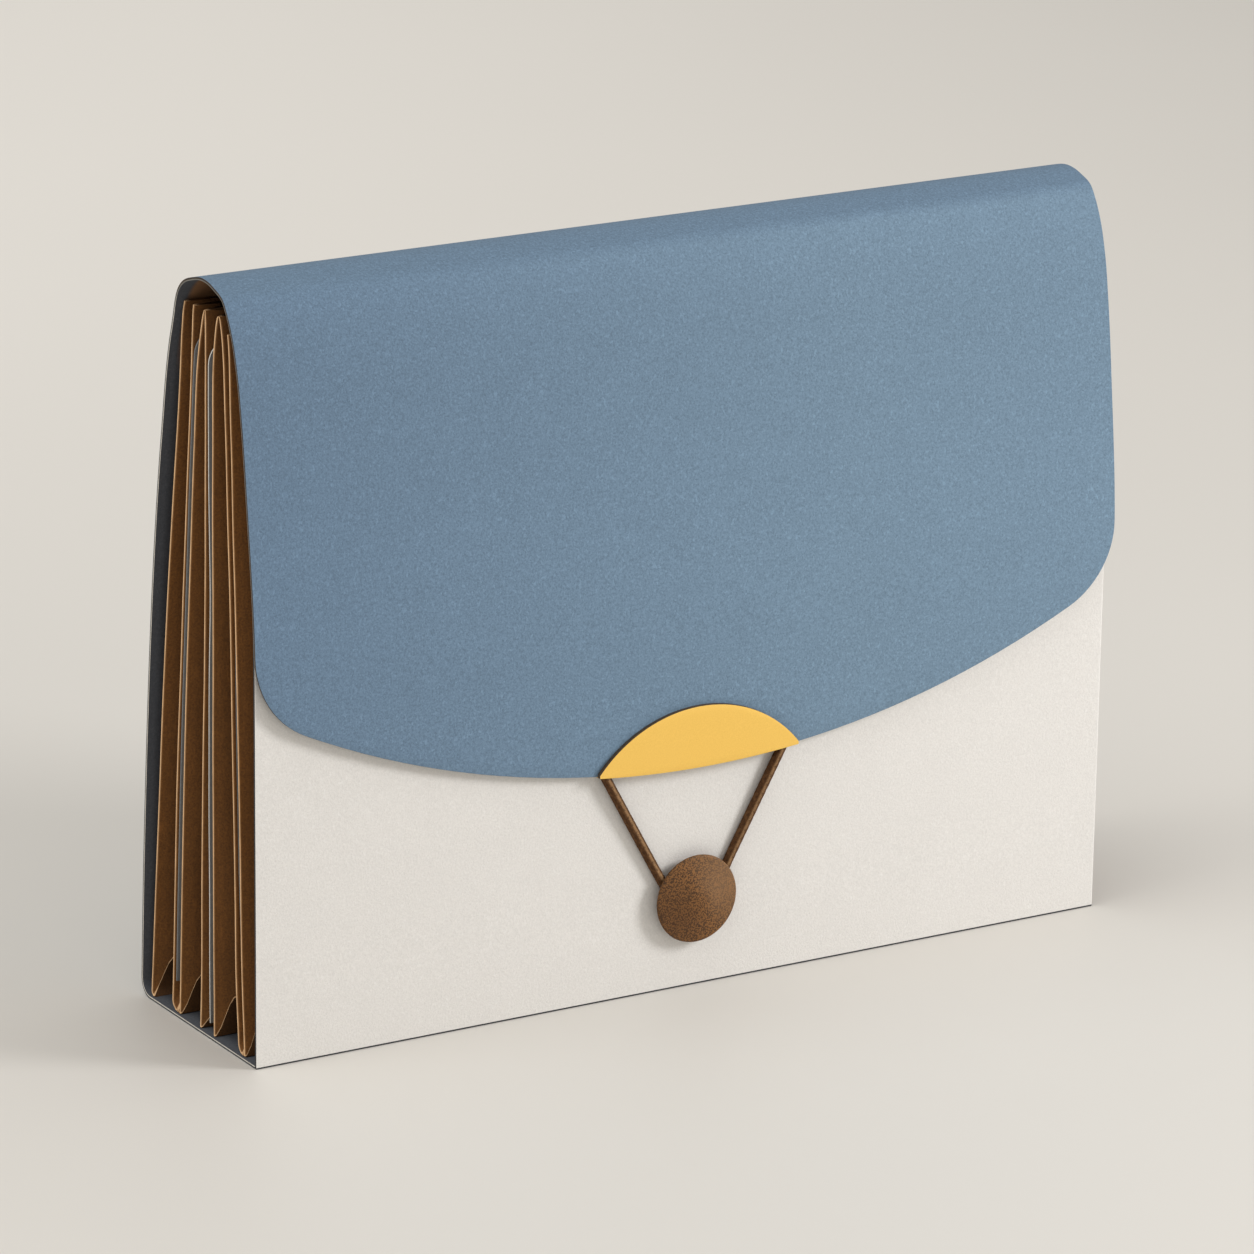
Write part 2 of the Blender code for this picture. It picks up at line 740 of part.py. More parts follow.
def side_gusset(pocket, side, parent):
    """The strip up one side of a pocket, mitred at its foot."""
    outside = WIDTH / 2 - PLEAT_INSET
    columns = len(pleat_section(pocket, PLEAT_TOP)) - 1

    def place(column, row):
        inward = pleat_section(pocket, tent_foot())[column][0]
        low = mitre_height(inward) + CLEARANCE
        z = low + (PLEAT_TOP - low) * row / PLEAT_ROWS
        inward, y = pleat_section(pocket, z)[column]
        return Vector((side * (outside - inward), y, z))

    name = f"gusset_{'left' if side < 0 else 'right'}_{pocket + 1}"
    sheet(name, columns, PLEAT_ROWS, place, KRAFT, KRAFT_BROWN, parent)


def bottom_gusset(pocket, parent):
    """The strip under a pocket, folded up into a tent between two mitres."""
    outside = WIDTH / 2 - PLEAT_INSET
    columns = len(pleat_section(pocket, PLEAT_TOP)) - 1

    def place(column, row):
        inward = pleat_section(pocket, tent_foot())[column][0]
        z = mitre_height(inward)
        y = pleat_section(pocket, z)[column][1]
        reach = outside - inward - 2 * CLEARANCE
        return Vector(((2 * row - 1) * reach, y, z))

    sheet(f"gusset_bottom_{pocket + 1}", columns, 1, place, KRAFT, KRAFT_BROWN, parent)


def pockets():
    """Dividers and gussets, all fanning about the crease at the front panel's foot."""
    fan_y, fan_z = COVER_BOARD / 2, COVER_BOARD / 2
    carrier = None
    for pocket in range(4):
        for side in (-1, 1):
            side_gusset(pocket, side, carrier)
        bottom_gusset(pocket, carrier)
        name = "front_fan" if pocket == 3 else f"divider_{pocket + 1}_fan"
        carrier = pivot(name, fan_y, fan_z, carrier)
        if pocket < 3:
            divider(pocket, carrier)
    return carrier


clear_scene()
FOLDER = new_collection("expanding_file_folder")
HELPERS = new_collection("helpers")
BLUE = material("blue_board", (0.195, 0.270, 0.352), 0.85)
SLATE = material("slate_lining", (0.033, 0.035, 0.039), 0.85)
CREAM = material("cream_board", (0.752, 0.716, 0.652), 0.85)
GREY = material("grey_card", (0.215, 0.262, 0.296), 0.85)
KRAFT_BROWN = material("kraft_paper", (0.105, 0.048, 0.016), 0.80)
YELLOW = material("yellow_card", (0.871, 0.552, 0.117), 0.60)
BROWN = material("brown_button", (0.174, 0.093, 0.045), 0.55)
CORD = material("brown_elastic", (0.140, 0.060, 0.020), 0.75)
METAL = material("rivet_metal", (0.560, 0.500, 0.400), 0.35, 1.0)

back_and_bottom()
front_panel(pockets())
button(bpy.data.objects["front_fan"])
FLAP = roll_and_flap()
tab_and_backing(FLAP)
LOOP_Y = flap_face(FLAP_TIP_HEIGHT, COVER_BOARD / 2)
elastic_loop(pivot("loop_stretch", LOOP_Y, FLAP_TIP_HEIGHT, FLAP))
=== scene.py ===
"""The looks of the expanding file folder: paper and board finishes, the smooth roll of the
cover, the folded kraft gussets, the braided loop, and the studio round them.

Metres, +Z up. The layout's sizes repeat those of the solids and count from the crease at the
foot of the front panel; ORIGIN_Y moves them to the frame's origin.
"""

from math import acos, atan, atan2, cos, hypot, pi, radians, sin, sqrt

import bmesh
import bpy
import numpy as np
from mathutils import Matrix, Vector, noise


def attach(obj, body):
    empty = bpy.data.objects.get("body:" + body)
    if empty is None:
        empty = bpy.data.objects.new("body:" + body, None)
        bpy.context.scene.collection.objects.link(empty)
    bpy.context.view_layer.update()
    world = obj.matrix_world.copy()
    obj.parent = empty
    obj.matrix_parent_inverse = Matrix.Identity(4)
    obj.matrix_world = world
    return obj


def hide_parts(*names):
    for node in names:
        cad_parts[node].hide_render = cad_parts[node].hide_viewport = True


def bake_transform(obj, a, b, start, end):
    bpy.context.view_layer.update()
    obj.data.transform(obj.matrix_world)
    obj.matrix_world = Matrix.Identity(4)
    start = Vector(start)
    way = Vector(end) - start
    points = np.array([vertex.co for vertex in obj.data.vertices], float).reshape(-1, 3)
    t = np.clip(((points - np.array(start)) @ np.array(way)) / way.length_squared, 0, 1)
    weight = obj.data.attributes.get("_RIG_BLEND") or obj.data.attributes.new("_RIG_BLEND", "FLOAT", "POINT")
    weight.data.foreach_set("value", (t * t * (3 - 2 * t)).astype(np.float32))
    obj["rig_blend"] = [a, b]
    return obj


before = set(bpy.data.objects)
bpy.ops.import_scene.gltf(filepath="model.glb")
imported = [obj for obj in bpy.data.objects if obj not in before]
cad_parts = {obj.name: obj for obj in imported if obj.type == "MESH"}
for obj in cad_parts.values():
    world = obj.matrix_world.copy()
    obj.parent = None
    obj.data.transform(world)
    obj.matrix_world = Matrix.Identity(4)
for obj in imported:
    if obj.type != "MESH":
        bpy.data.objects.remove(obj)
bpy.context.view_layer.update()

# Camera
CAMERA_PLACE = (-1.1015, -1.8668, 0.7737)
CAMERA_YAW = 30.4833
CAMERA_PITCH = 16.8579
CAMERA_ROLL = 0.3042
CAMERA_LENS = 191.8
CAMERA_REACH = 50.0
SENSOR_WIDTH = 36.0

# Light
SKY_COLOUR = (1.0, 0.975, 0.930)
SKY_STRENGTH = 0.56
# Each lamp's name, place, target, size, power and colour
LIGHTS = (
    ("key", (1.20, -1.05, 0.82), (0.0, 0.0, 0.10), 0.60, 17.6, (1.0, 0.995, 1.0)),
    ("top", (-0.9, -0.1, 2.4), (-0.4, 0.1, 0.0), 2.6, 18.5, (1.0, 0.995, 0.99)),
    ("side", (-2.0, 0.1, 1.0), (0.0, 0.0, 0.1), 1.6, 11.5, (1.0, 0.970, 0.925)),
)
FAR_LIGHT = ("far", (0.15, 2.0, 2.6), (0.25, 1.65, 0.0), 0.40, 105.0, (1.0, 0.99, 0.98))
FAR_CONE = 58.0
FLOOR_RADIUS = 6.0

# Sizes that repeat the solids'
POCKETS = 4
WIDTH = 0.330
HEIGHT = 0.2607
BASE_DEPTH = 0.0845
CLEARANCE = 0.0003
COVER_BOARD = 0.0010
CORNER_RADIUS = 0.0060
BACK_SHARES = (
    (0.995, 0.024),
    (0.969, 0.153),
    (0.930, 0.306),
    (0.883, 0.459),
    (0.825, 0.612),
    (0.748, 0.765),
    (0.641, 0.918),
    (0.603, 0.949),
    (0.556, 0.971),
)
ROLL_SHARES = (
    (0.500, 0.986),
    (0.420, 0.9955),
    (0.340, 1.000),
    (0.287, 0.9985),
    (0.237, 0.994),
    (0.168, 0.984),
    (0.132, 0.968),
)
FLAP_SHARES = (
    (0.095, 0.944),
    (0.053, 0.899),
    (0.021, 0.838),
    (-0.019, 0.727),
    (-0.065, 0.555),
    (-0.059, 0.382),
    (-0.051, 0.296),
)
FLAP_OVERHANG = 0.0015
FLAP_TIP_HEIGHT = 0.3053 * HEIGHT
FLAP_ARC_RADIUS = 0.3405
FLAP_CORNER_RADIUS = 0.0320
ARC_Z = FLAP_TIP_HEIGHT + FLAP_ARC_RADIUS
FRONT_HEIGHT = 0.9053 * HEIGHT
FRONT_LEAN_SHARE = 0.0179
FRONT_GAP = 0.0008
FRONT_BEND = 0.0030
DIVIDER_HEIGHT = 0.9283 * HEIGHT
DIVIDER_SHEET = 0.0006
DIVIDER_SHARES = (
    (0.735, 0.716, 0.702),
    (0.423, 0.475, 0.482),
    (0.146, 0.244, 0.234),
)
KRAFT = 0.0005
RIDGE_STANDS = (
    ((0.0029, 0.0019), (0.0026, 0.0018)),
    ((0.0054, 0.0033), (0.0022, 0.0020)),
    ((0.0019, 0.0018), (0.0019, 0.0018)),
)
PLEAT_LEAF = 0.195 * BASE_DEPTH
PLEAT_INSET = 0.0020
PLEAT_TOP = 0.9417 * HEIGHT
GLUE_MARGIN = 0.0080
REAR_PLEAT_FOOT = 0.0033
REAR_PLEAT_MIDDLE = 0.0063
REAR_PLEAT_TOP = 0.0040
REAR_FOLD_SHARE = 0.85
TAB_RADIUS = 0.0484
TAB_RISE = 0.0210
TAB_LIP = 0.0007
TAB_TIP = 0.0010
BUTTON_HEIGHT = 0.1251 * HEIGHT
HEAD_RADIUS = 0.0155
HEAD_EDGE = 0.0015
HEAD_CROWN = 0.0024
COLLAR_RADIUS = 0.0055
CORD_DIAMETER = 0.0027
LOOP_SPREAD = 0.0342

# Sizes of the finish alone
RIDGE_RADIUS = 0.0009
KRAFT_SHEET = 0.00035
FOLD_RADIUS = 0.0005
EDGE_WIDTH = 0.00016
EDGE_ANGLE = 50
FOOT = COVER_BOARD + CLEARANCE / 2 + KRAFT_SHEET / 2
FOOT_WRAP = 0.0030
WRAPPED = (0, 2)
FLARE = 0.0010
FLARE_LEAN = 0.0016
FLARE_RISE = 0.0120
MITRE_RISE = 0.0130
MITRE_RUN = 0.0062
SEAM_WIDTH = 0.00040
SEAM_TAN = 0.85
SEAM_ROWS = 2
CORE_SPAN = (0.30, 0.42)
CURL_RISE = 0.0080
ARCH_TOP = 0.2486
ARCH_RISES = (0.0130, 0.0260, 0.0220, 0.0130)
ARCH_PEAKS = (None, 0.08, 0.30, None)
PLEAT_TOPS = (0.2486, 0.2486, 0.2486, 0.2440)
PLEAT_TOP_POWER = 4
FOLD_TAN_POWER = 8
# Millimetres each fold wanders backward, at these heights in millimetres
WANDER_HEIGHTS = tuple(range(0, 251, 25))
WANDERS = {
    (0, "rear"): (0.0, 0.0, -0.16, -0.32, -0.26, -0.45, -0.83, -1.20, -1.28, -0.70, 2.90),
    (0, "front"): (0.0, 0.06, 0.32, 0.70, 0.74, 0.58, 0.64, 0.39, 0.26, 0.15, 1.70),
    (1, "front"): (2.40, 1.28, 0.90, 0.50, 0.26, 0.0, 0.0, 0.0, 0.0, 0.0, 0.0),
    (2, "rear"): (0.0, -0.45, -0.90, -1.15, -1.03, -0.96, -0.45, 0.06, 0.0, 0.0, -0.50),
    (2, "front"): (0.77, 0.77, -0.50, -1.20, -1.16, -0.83, -0.20, 0.45, 0.50, 0.55, -0.40),
    (3, "rear"): (0.50, 0.20, -0.83, -1.60, -1.67, -1.20, -0.30, 0.39, 0.26, 0.20, -1.30),
    (1, "card"): (0.30, -0.26, -0.90, -0.90, -1.00, -0.90, -1.15, -0.40, 0.26, 0.45, 0.45),
}
PAPER_SWAY = 0.0008
# How fast the sway changes up and across a leaf, per metre, and from strip to strip
SWAY_UP, SWAY_ACROSS = 22.0, 60.0
SWAY_POCKET, SWAY_SIDE = 3.1, 5.7
CARD_FEET = (0.0115, 0.0045, 0.0021)
CARD_INSETS = (0.0016, 0.0015, 0.0030)
CARD_DROPS = (0.0010, 0.0025, 0.0010)
CARD_CORNER = 0.0085
TAB_THICKNESS = 0.0017
TAB_STRETCH = 1.018
TAB_LIFT = 0.0006
WIDENING = 0.0200
WIDENING_START = 0.70
BEND_SHADE_SHARE = 0.6
BOARD_LINE = 0.0006
BEND_REACH = 0.0100
RIM_ROUND = 0.0008
HEAD_SOFT_SHARE = 0.25
RIM_STEP = 15
# The side of the button painted lighter, and how far in from the rim that painted light reaches
LIT_SIDE_ANGLE = 25
LIT_SIDE_SHARE = 0.45
CORD_GIRTH = 0.0034
LEFT_SPREAD = 0.0361
CORD_TUCK = 0.0015
CORD_RING = 0.00035
CORD_EASING = 20
BRAID_PITCH = 0.0034
BRAID_YARNS = 4
BRAID_DEPTH = 0.05
BRAID_TONES = 2
# The side of the cord that carries the painted highlight, and how narrow it is
HIGHLIGHT_SIDE = Vector((0.05, -0.96, 0.28))
HIGHLIGHT_SHARP = 0.88

# Grain, in features per metre
PAPER_TOOTH, PAPER_MOTTLE, PAPER_SPECKS, PAPER_CLOUD = 1900.0, 1150.0, 1050.0, 60.0
KRAFT_TOOTH, KRAFT_FIBRES, KRAFT_CLOUD = 1500.0, 700.0, 45.0
EDGE_LAYERS, EDGE_RUNS = 3500.0, 260.0
CARD_TOOTH, CARD_CLOUD = 2400.0, 60.0
TAB_EDGE_GRAIN = 1600.0
BUTTON_GRAIN, BUTTON_CLOUD = 1900.0, 140.0
CORD_FUZZ = 3600.0
METAL_MARKS = 900.0
FLOOR_CLOUD = 1.4

# Spans over which looks change: of noise, of x, y and z, or of the distance from x = 0
EVEN = (0.3, 0.7)
# Where painted light and shade change across the flap and up it, and where the roll is painted darker
FLAP_LIGHT_X, FLAP_SHADE_Z = (-0.17, 0.06), (0.14, 0.24)
ROLL_SHADE_Z = (0.2545, 0.2580)
# Where the lining is painted brown as shade inside the rear pocket's mouth
MOUTH_SIDE, MOUTH_Y, MOUTH_Z = (0.1605, 0.1622), (-0.012, 0.0), (0.222, 0.236)
# Where painted shade darkens the lining behind the pleats
LINING_SHADE_SIDE = (0.1585, 0.1625)
# Where painted shade darkens the kraft's cut edges inward
CUT_SHADE_SIDE = (0.1610, 0.1625)
# Where painted shade darkens the kraft leaves inward and under the roll
LEAF_SHADE_SIDE, LEAF_SHADE_Z = (0.1545, 0.1625), (0.224, 0.245)

# Colours, in linear light
BLUE_BOARD = (0.155, 0.236, 0.325)
# Painted light and shade on the flap's blue: darker to the left, lighter to the right, and darker on the
# roll
BLUE_SHADED_LEFT, BLUE_LIT_RIGHT = (0.874, 0.887, 0.931), (1.065, 1.062, 1.048)
BLUE_ROLL_SHADE = (0.77, 0.78, 0.80)
# The cream board, and the paler cream of the highlight painted along its side edges
CREAM_BOARD, CREAM_HIGHLIGHT = (0.754, 0.732, 0.702), (0.93, 0.91, 0.88)
# The slate lining, and the brown painted into it as shade inside the rear pocket's mouth
SLATE_LINING, MOUTH_SHADE_BROWN = (0.084, 0.092, 0.107), (0.270, 0.142, 0.068)
GREY_CARD = (0.165, 0.170, 0.172)
CARD_CORE = (0.62, 0.60, 0.56)
FRONT_CORE = (0.040, 0.042, 0.045)
KRAFT_BROWN, KRAFT_TAN = (0.150, 0.061, 0.0145), (0.92, 0.60, 0.33)
# The kraft's cut edge, and the dark brown painted on it as shade further in
KRAFT_CORE, KRAFT_DEEP_SHADE = (0.60, 0.37, 0.19), (0.085, 0.038, 0.0130)
# The cut edge's pale line, its grey line painted as shade past the rear bend, and its core, painted dark
# brown as shade there
PALE_LINE = ((0.58, 0.55, 0.48), (0.74, 0.70, 0.63))
SHADED_GREY_LINE = ((0.150, 0.145, 0.130), (0.24, 0.23, 0.205))
BOARD_CORE_AND_SHADE = ((0.065, 0.068, 0.074), (0.034, 0.020, 0.012))
BOARD_STAIN = (0.12, 0.105, 0.085)
YELLOW_CARD, YELLOW_CLOUD = ((0.830, 0.500, 0.086), (0.900, 0.560, 0.106)), (0.88, 0.56, 0.13)
# The tab's brown cut edge, painted dark to stand for its shaded side and the shadow beside it
TAB_EDGE_SHADE = ((0.045, 0.028, 0.016), (0.095, 0.060, 0.034))
BUTTON_BROWN = (0.138, 0.060, 0.0170)
# Painted light and painted shade on the button's two sides
BUTTON_PAINTED_LIGHT, BUTTON_PAINTED_SHADE = (0.285, 0.165, 0.082), (0.060, 0.022, 0.0050)
YARN_BROWN = ((0.036, 0.0135, 0.0038), (0.118, 0.050, 0.0155))
YARN_LIGHT, YARN_GAP = (0.22, 0.110, 0.045), (0.016, 0.007, 0.003)
# The tan of the painted highlight along the cord
HIGHLIGHT_TAN = (0.44, 0.26, 0.125)
BRASS = ((0.44, 0.36, 0.22), (0.60, 0.50, 0.33))
FLOOR_PALE = ((0.655, 0.631, 0.591), (0.672, 0.648, 0.607))

# Facets
COVER_STEPS = 1200
BOTTOM_ROWS = 8
TURN_ROWS = 10
BACK_ROWS = 44
BEND_ROWS = 20
FLAP_ROWS = 44
FLAP_CROWDING = 1.3
ARC_COLUMNS = 40
CORNER_COLUMNS = 14
COVER_COLUMNS = 2 * CORNER_COLUMNS + ARC_COLUMNS
FRONT_COLUMNS = 12
FRONT_ROWS = 60
TAB_COLUMNS = 72
TAB_ROWS = 8
FOLD_STEPS = 8
LEAF_STEPS = 10
CURL_ROWS = 9
PLEAT_ROWS = 36
CARD_ROWS = 40
CARD_COLUMNS = 12
ARCH_ROWS = 12
TENT_ROWS = 4
ROUND_STEPS = 120
HEAD_ROWS = 16
TURN_STEPS = 24
LEG_STEPS = 24
CORD_SIDES = 24

# A sheet's material slot for its cut edge, and the bodies from back to front
CUT_EDGE = 2
CARRIERS = ("case", "divider_1_set", "divider_2_set", "divider_3_set", "front_set")


def smooth_line(points, steps):
    """A dense line through hand-set points, as a cubic with chord-length tangents."""
    points = np.array(points, float)
    knots = np.concatenate([[0.0], np.cumsum(np.linalg.norm(np.diff(points, axis=0), axis=1))])
    tangents = np.gradient(points, knots, axis=0)
    places = np.linspace(0.0, knots[-1], steps)
    span = np.clip(np.searchsorted(knots, places, side="right") - 1, 0, len(knots) - 2)
    length = (knots[span + 1] - knots[span])[:, None]
    share = ((places - knots[span])[:, None]) / length
    start, end = points[span], points[span + 1]
    leave, arrive = tangents[span] * length, tangents[span + 1] * length
    line = (
        (2 * share**3 - 3 * share**2 + 1) * start
        + (share**3 - 2 * share**2 + share) * leave
        + (3 * share**2 - 2 * share**3) * end
        + (share**3 - share**2) * arrive
    )
    return line, knots


def smooth_step(share):
    share = min(max(share, 0.0), 1.0)
    return share * share * (3 - 2 * share)


def three_point(values, share):
    """A smooth value through three, given at shares 0, a half and 1."""
    foot, middle, top = values
    return (
        foot * (1 - share) * (1 - 2 * share)
        + middle * 4 * share * (1 - share)
        + top * share * (2 * share - 1)
    )


PLACES = [(y * BASE_DEPTH, z * HEIGHT) for y, z in BACK_SHARES + ROLL_SHARES + FLAP_SHARES]
COVER_LINE, COVER_KNOTS = smooth_line(PLACES, COVER_STEPS)
COVER_LENGTHS = np.linspace(0.0, COVER_KNOTS[-1], COVER_STEPS)
COVER_TANGENTS = np.gradient(COVER_LINE, axis=0)
COVER_TANGENTS /= np.linalg.norm(COVER_TANGENTS, axis=1)[:, None]
ROLL_START = COVER_KNOTS[len(BACK_SHARES) - 1]
ROLL_END = COVER_KNOTS[len(BACK_SHARES) + len(ROLL_SHARES) - 1]
CREASES = (ROLL_START, (ROLL_START + ROLL_END) / 2, ROLL_END)
BENDS = (
    0.0,
    CREASES[0] - BEND_REACH,
    (CREASES[0] + CREASES[1]) / 2,
    (CREASES[1] + CREASES[2]) / 2,
    CREASES[2] + BEND_REACH,
)


def cover_point(length, depth):
    """(y, z) at a length along the cover, and a depth inside its outer face."""
    y, z = (np.interp(length, COVER_LENGTHS, COVER_LINE[:, i]) for i in (0, 1))
    along_y, along_z = (np.interp(length, COVER_LENGTHS, COVER_TANGENTS[:, i]) for i in (0, 1))
    return y - along_z * depth, z + along_y * depth


FACES = {}


def face_at(z, depth, in_front):
    """(length, y) where a line this far inside the cover's outer face has this height."""
    if (depth, in_front) not in FACES:
        line_y, line_z = cover_point(COVER_LENGTHS, depth)
        peak = int(np.argmax(line_z))
        part = slice(peak, None) if in_front else slice(None, peak)
        FACES[depth, in_front] = line_y[part], line_z[part], COVER_LENGTHS[part]
    line_y, line_z, lengths = FACES[depth, in_front]
    sign = -1 if in_front else 1
    return tuple(float(np.interp(sign * z, sign * line_z, values)) for values in (lengths, line_y))


def back_face(z):
    """y of the back panel's inner face, above the corner at its foot."""
    return face_at(z, COVER_BOARD, False)[1]


def corner_face(z):
    """y of the inner face of the rounded corner at the back panel's foot."""
    inner = CORNER_RADIUS - COVER_BOARD
    drop = min(max(CORNER_RADIUS - z, 0.0), inner)
    return PLACES[0][0] - CORNER_RADIUS + sqrt(inner**2 - drop**2)


def flap_face(z, depth):
    """y inside (or, where negative, in front of) the flap's outer face."""
    return face_at(z, depth, True)[1]


def front_outside(z):
    """y of the front panel's outer face: straight and leaning out, then following the flap."""
    leaning = -FRONT_LEAN_SHARE * z
    under_flap = flap_face(max(z, FLAP_TIP_HEIGHT), COVER_BOARD) + FRONT_GAP
    apart = hypot(leaning - under_flap, FRONT_BEND * z / FRONT_HEIGHT)
    return (leaning + under_flap + apart) / 2


def front_face(z):
    """y of the front panel's inner face."""
    return front_outside(z) + COVER_BOARD


def divider_middle(index, z):
    """y of a divider's middle plane."""
    share = three_point(DIVIDER_SHARES[index], z / DIVIDER_HEIGHT)
    return front_face(z) + share * (back_face(z) - front_face(z))


BUTTON_TILT = atan(FRONT_LEAN_SHARE)
CORD_GAP = CLEARANCE + CORD_DIAMETER + CLEARANCE
HEAD_DEPTH = HEAD_EDGE + HEAD_CROWN
FRONT_REACH = (CORD_GAP + HEAD_DEPTH) / cos(BUTTON_TILT) - front_outside(BUTTON_HEIGHT)
ORIGIN_Y = (BACK_SHARES[0][0] * BASE_DEPTH - FRONT_REACH) / 2


# Camera and studio


def make_camera():
    yaw, pitch, roll = (radians(a) for a in (CAMERA_YAW, CAMERA_PITCH, CAMERA_ROLL))
    flat = cos(pitch)
    ahead = Vector((sin(yaw) * flat, cos(yaw) * flat, -sin(pitch)))
    level = Vector((cos(yaw), -sin(yaw), 0.0))
    rise = level.cross(ahead)
    right = level * cos(roll) + rise * sin(roll)
    up = rise * cos(roll) - level * sin(roll)
    camera = bpy.data.objects.new("camera", bpy.data.cameras.new("camera"))
    camera.data.lens = CAMERA_LENS
    camera.data.sensor_width = SENSOR_WIDTH
    camera.data.clip_end = CAMERA_REACH
    turn = Matrix((right, up, -ahead)).transposed().to_4x4()
    camera.matrix_world = Matrix.Translation(CAMERA_PLACE) @ turn
    bpy.context.scene.collection.objects.link(camera)
    bpy.context.scene.camera = camera


def add_light(kind, name, place, target, size, power, colour):
    """A disc of light, or a soft round spot that reaches only the floor it points at."""
    light = bpy.data.lights.new(name, kind)
    if kind == "AREA":
        light.shape = "DISK"
        light.size = size
    else:
        light.shadow_soft_size = size
        light.spot_size = radians(FAR_CONE)
        light.spot_blend = 1.0
    light.energy = power
    light.color = colour
    lamp = bpy.data.objects.new(name, light)
    lamp.location = place
    lamp.rotation_euler = (Vector(target) - Vector(place)).to_track_quat("-Z", "Y").to_euler()
    bpy.context.scene.collection.objects.link(lamp)


def make_studio():
    """A plain pale floor under a bright sky, with large soft lights and a spot behind."""
    world = bpy.data.worlds.new("studio")
    world.use_nodes = True
    sky = world.node_tree.nodes["Background"]
    sky.inputs["Color"].default_value = (*SKY_COLOUR, 1.0)
    sky.inputs["Strength"].default_value = SKY_STRENGTH
    bpy.context.scene.world = world
    bpy.context.scene.view_settings.view_transform = "Standard"
    for light in LIGHTS:
        add_light("AREA", *light)
    add_light("SPOT", *FAR_LIGHT)
    bm = bmesh.new()
    bmesh.ops.create_circle(bm, cap_ends=True, segments=ROUND_STEPS, radius=FLOOR_RADIUS)
    floor = finish_mesh("floor", bm, (floor_look(),))


# Materials


class Look:
    """A material whose nodes are added one after another."""

    def __init__(self, name):
        self.material = bpy.data.materials.new(name)
        self.material.use_nodes = True
        self.nodes = self.material.node_tree.nodes
        self.links = self.material.node_tree.links
        self.shader = self.nodes["Principled BSDF"]
        self.place = self.nodes.new("ShaderNodeTexCoord").outputs["Object"]

    def feed(self, target, value):
        """Gives an input a plain value, or a link from another node's output."""
        if isinstance(value, bpy.types.NodeSocket):
            self.links.new(value, target)
        else:
            target.default_value = value

    def node(self, kind, inputs=(), **settings):
        made = self.nodes.new(kind)
        for key, value in settings.items():
            setattr(made, key, value)
        for key, value in dict(inputs).items():
            self.feed(made.inputs[key], value)
        return made

    def noise(self, per_metre, detail=2.0, roughness=0.5, stretch=(1.0, 1.0, 1.0)):
        """Noise over object coordinates that are scaled apart along each axis."""
        place = self.node("ShaderNodeMapping", {"Vector": self.place, "Scale": stretch}).outputs[0]
        inputs = {"Vector": place, "Scale": per_metre, "Detail": detail, "Roughness": roughness}
        return self.node("ShaderNodeTexNoise", inputs).outputs["Fac"]

    def math(self, operation, first, second):
        return self.node("ShaderNodeMath", {0: first, 1: second}, operation=operation).outputs[0]

    def times(self, first, second):
        return self.math("MULTIPLY", first, second)

    def spread(self, value, low, high, to_low=0.0, to_high=1.0):
        """A value between low and high, mapped and clamped to a new span."""
        inputs = {"Value": value, 1: low, 2: high, 3: to_low, 4: to_high}
        return self.node("ShaderNodeMapRange", inputs).outputs["Result"]

    def mix(self, factor, first, second, kind="MIX"):
        """Two colours mixed, each plain or a node's output."""
        inputs = {0: factor}
        for index, colour in ((6, first), (7, second)):
            linked = isinstance(colour, bpy.types.NodeSocket)
            inputs[index] = colour if linked else (*colour, 1.0)
        return self.node("ShaderNodeMix", inputs, data_type="RGBA", blend_type=kind).outputs[2]

    def marked(self, name):
        return self.node("ShaderNodeAttribute", attribute_name=name).outputs["Fac"]

    # The per-vertex mark for scuffing, painted highlight and painted shade
    def worn_and_lit(self):
        return self.marked("wear_and_painted_light")

    def axes(self):
        return self.node("ShaderNodeSeparateXYZ", {0: self.place}).outputs

    def sideways(self, low, high, to_low, to_high):
        """A value that changes with the distance from the folder's middle, left or right."""
        return self.spread(self.math("ABSOLUTE", self.axes()[0], 0.0), low, high, to_low, to_high)

    def grey(self, value):
        return self.node("ShaderNodeCombineColor", {0: value, 1: value, 2: value}).outputs[0]

    def bump(self, height, strength, distance, under=None):
        inputs = {"Height": height, "Strength": strength, "Distance": distance}
        if under is not None:
            inputs["Normal"] = under
        return self.node("ShaderNodeBump", inputs).outputs["Normal"]

    def finish(self, colour, roughness, normal=None, specular=0.5):
        inputs = {"Base Color": colour, "Roughness": roughness, "Specular IOR Level": specular}
        if normal is not None:
            inputs["Normal"] = normal
        for key, value in inputs.items():
            self.feed(self.shader.inputs[key], value)
        return self.material


def tinted(colour, share):
    return tuple(min(1.0, part * share) for part in colour)


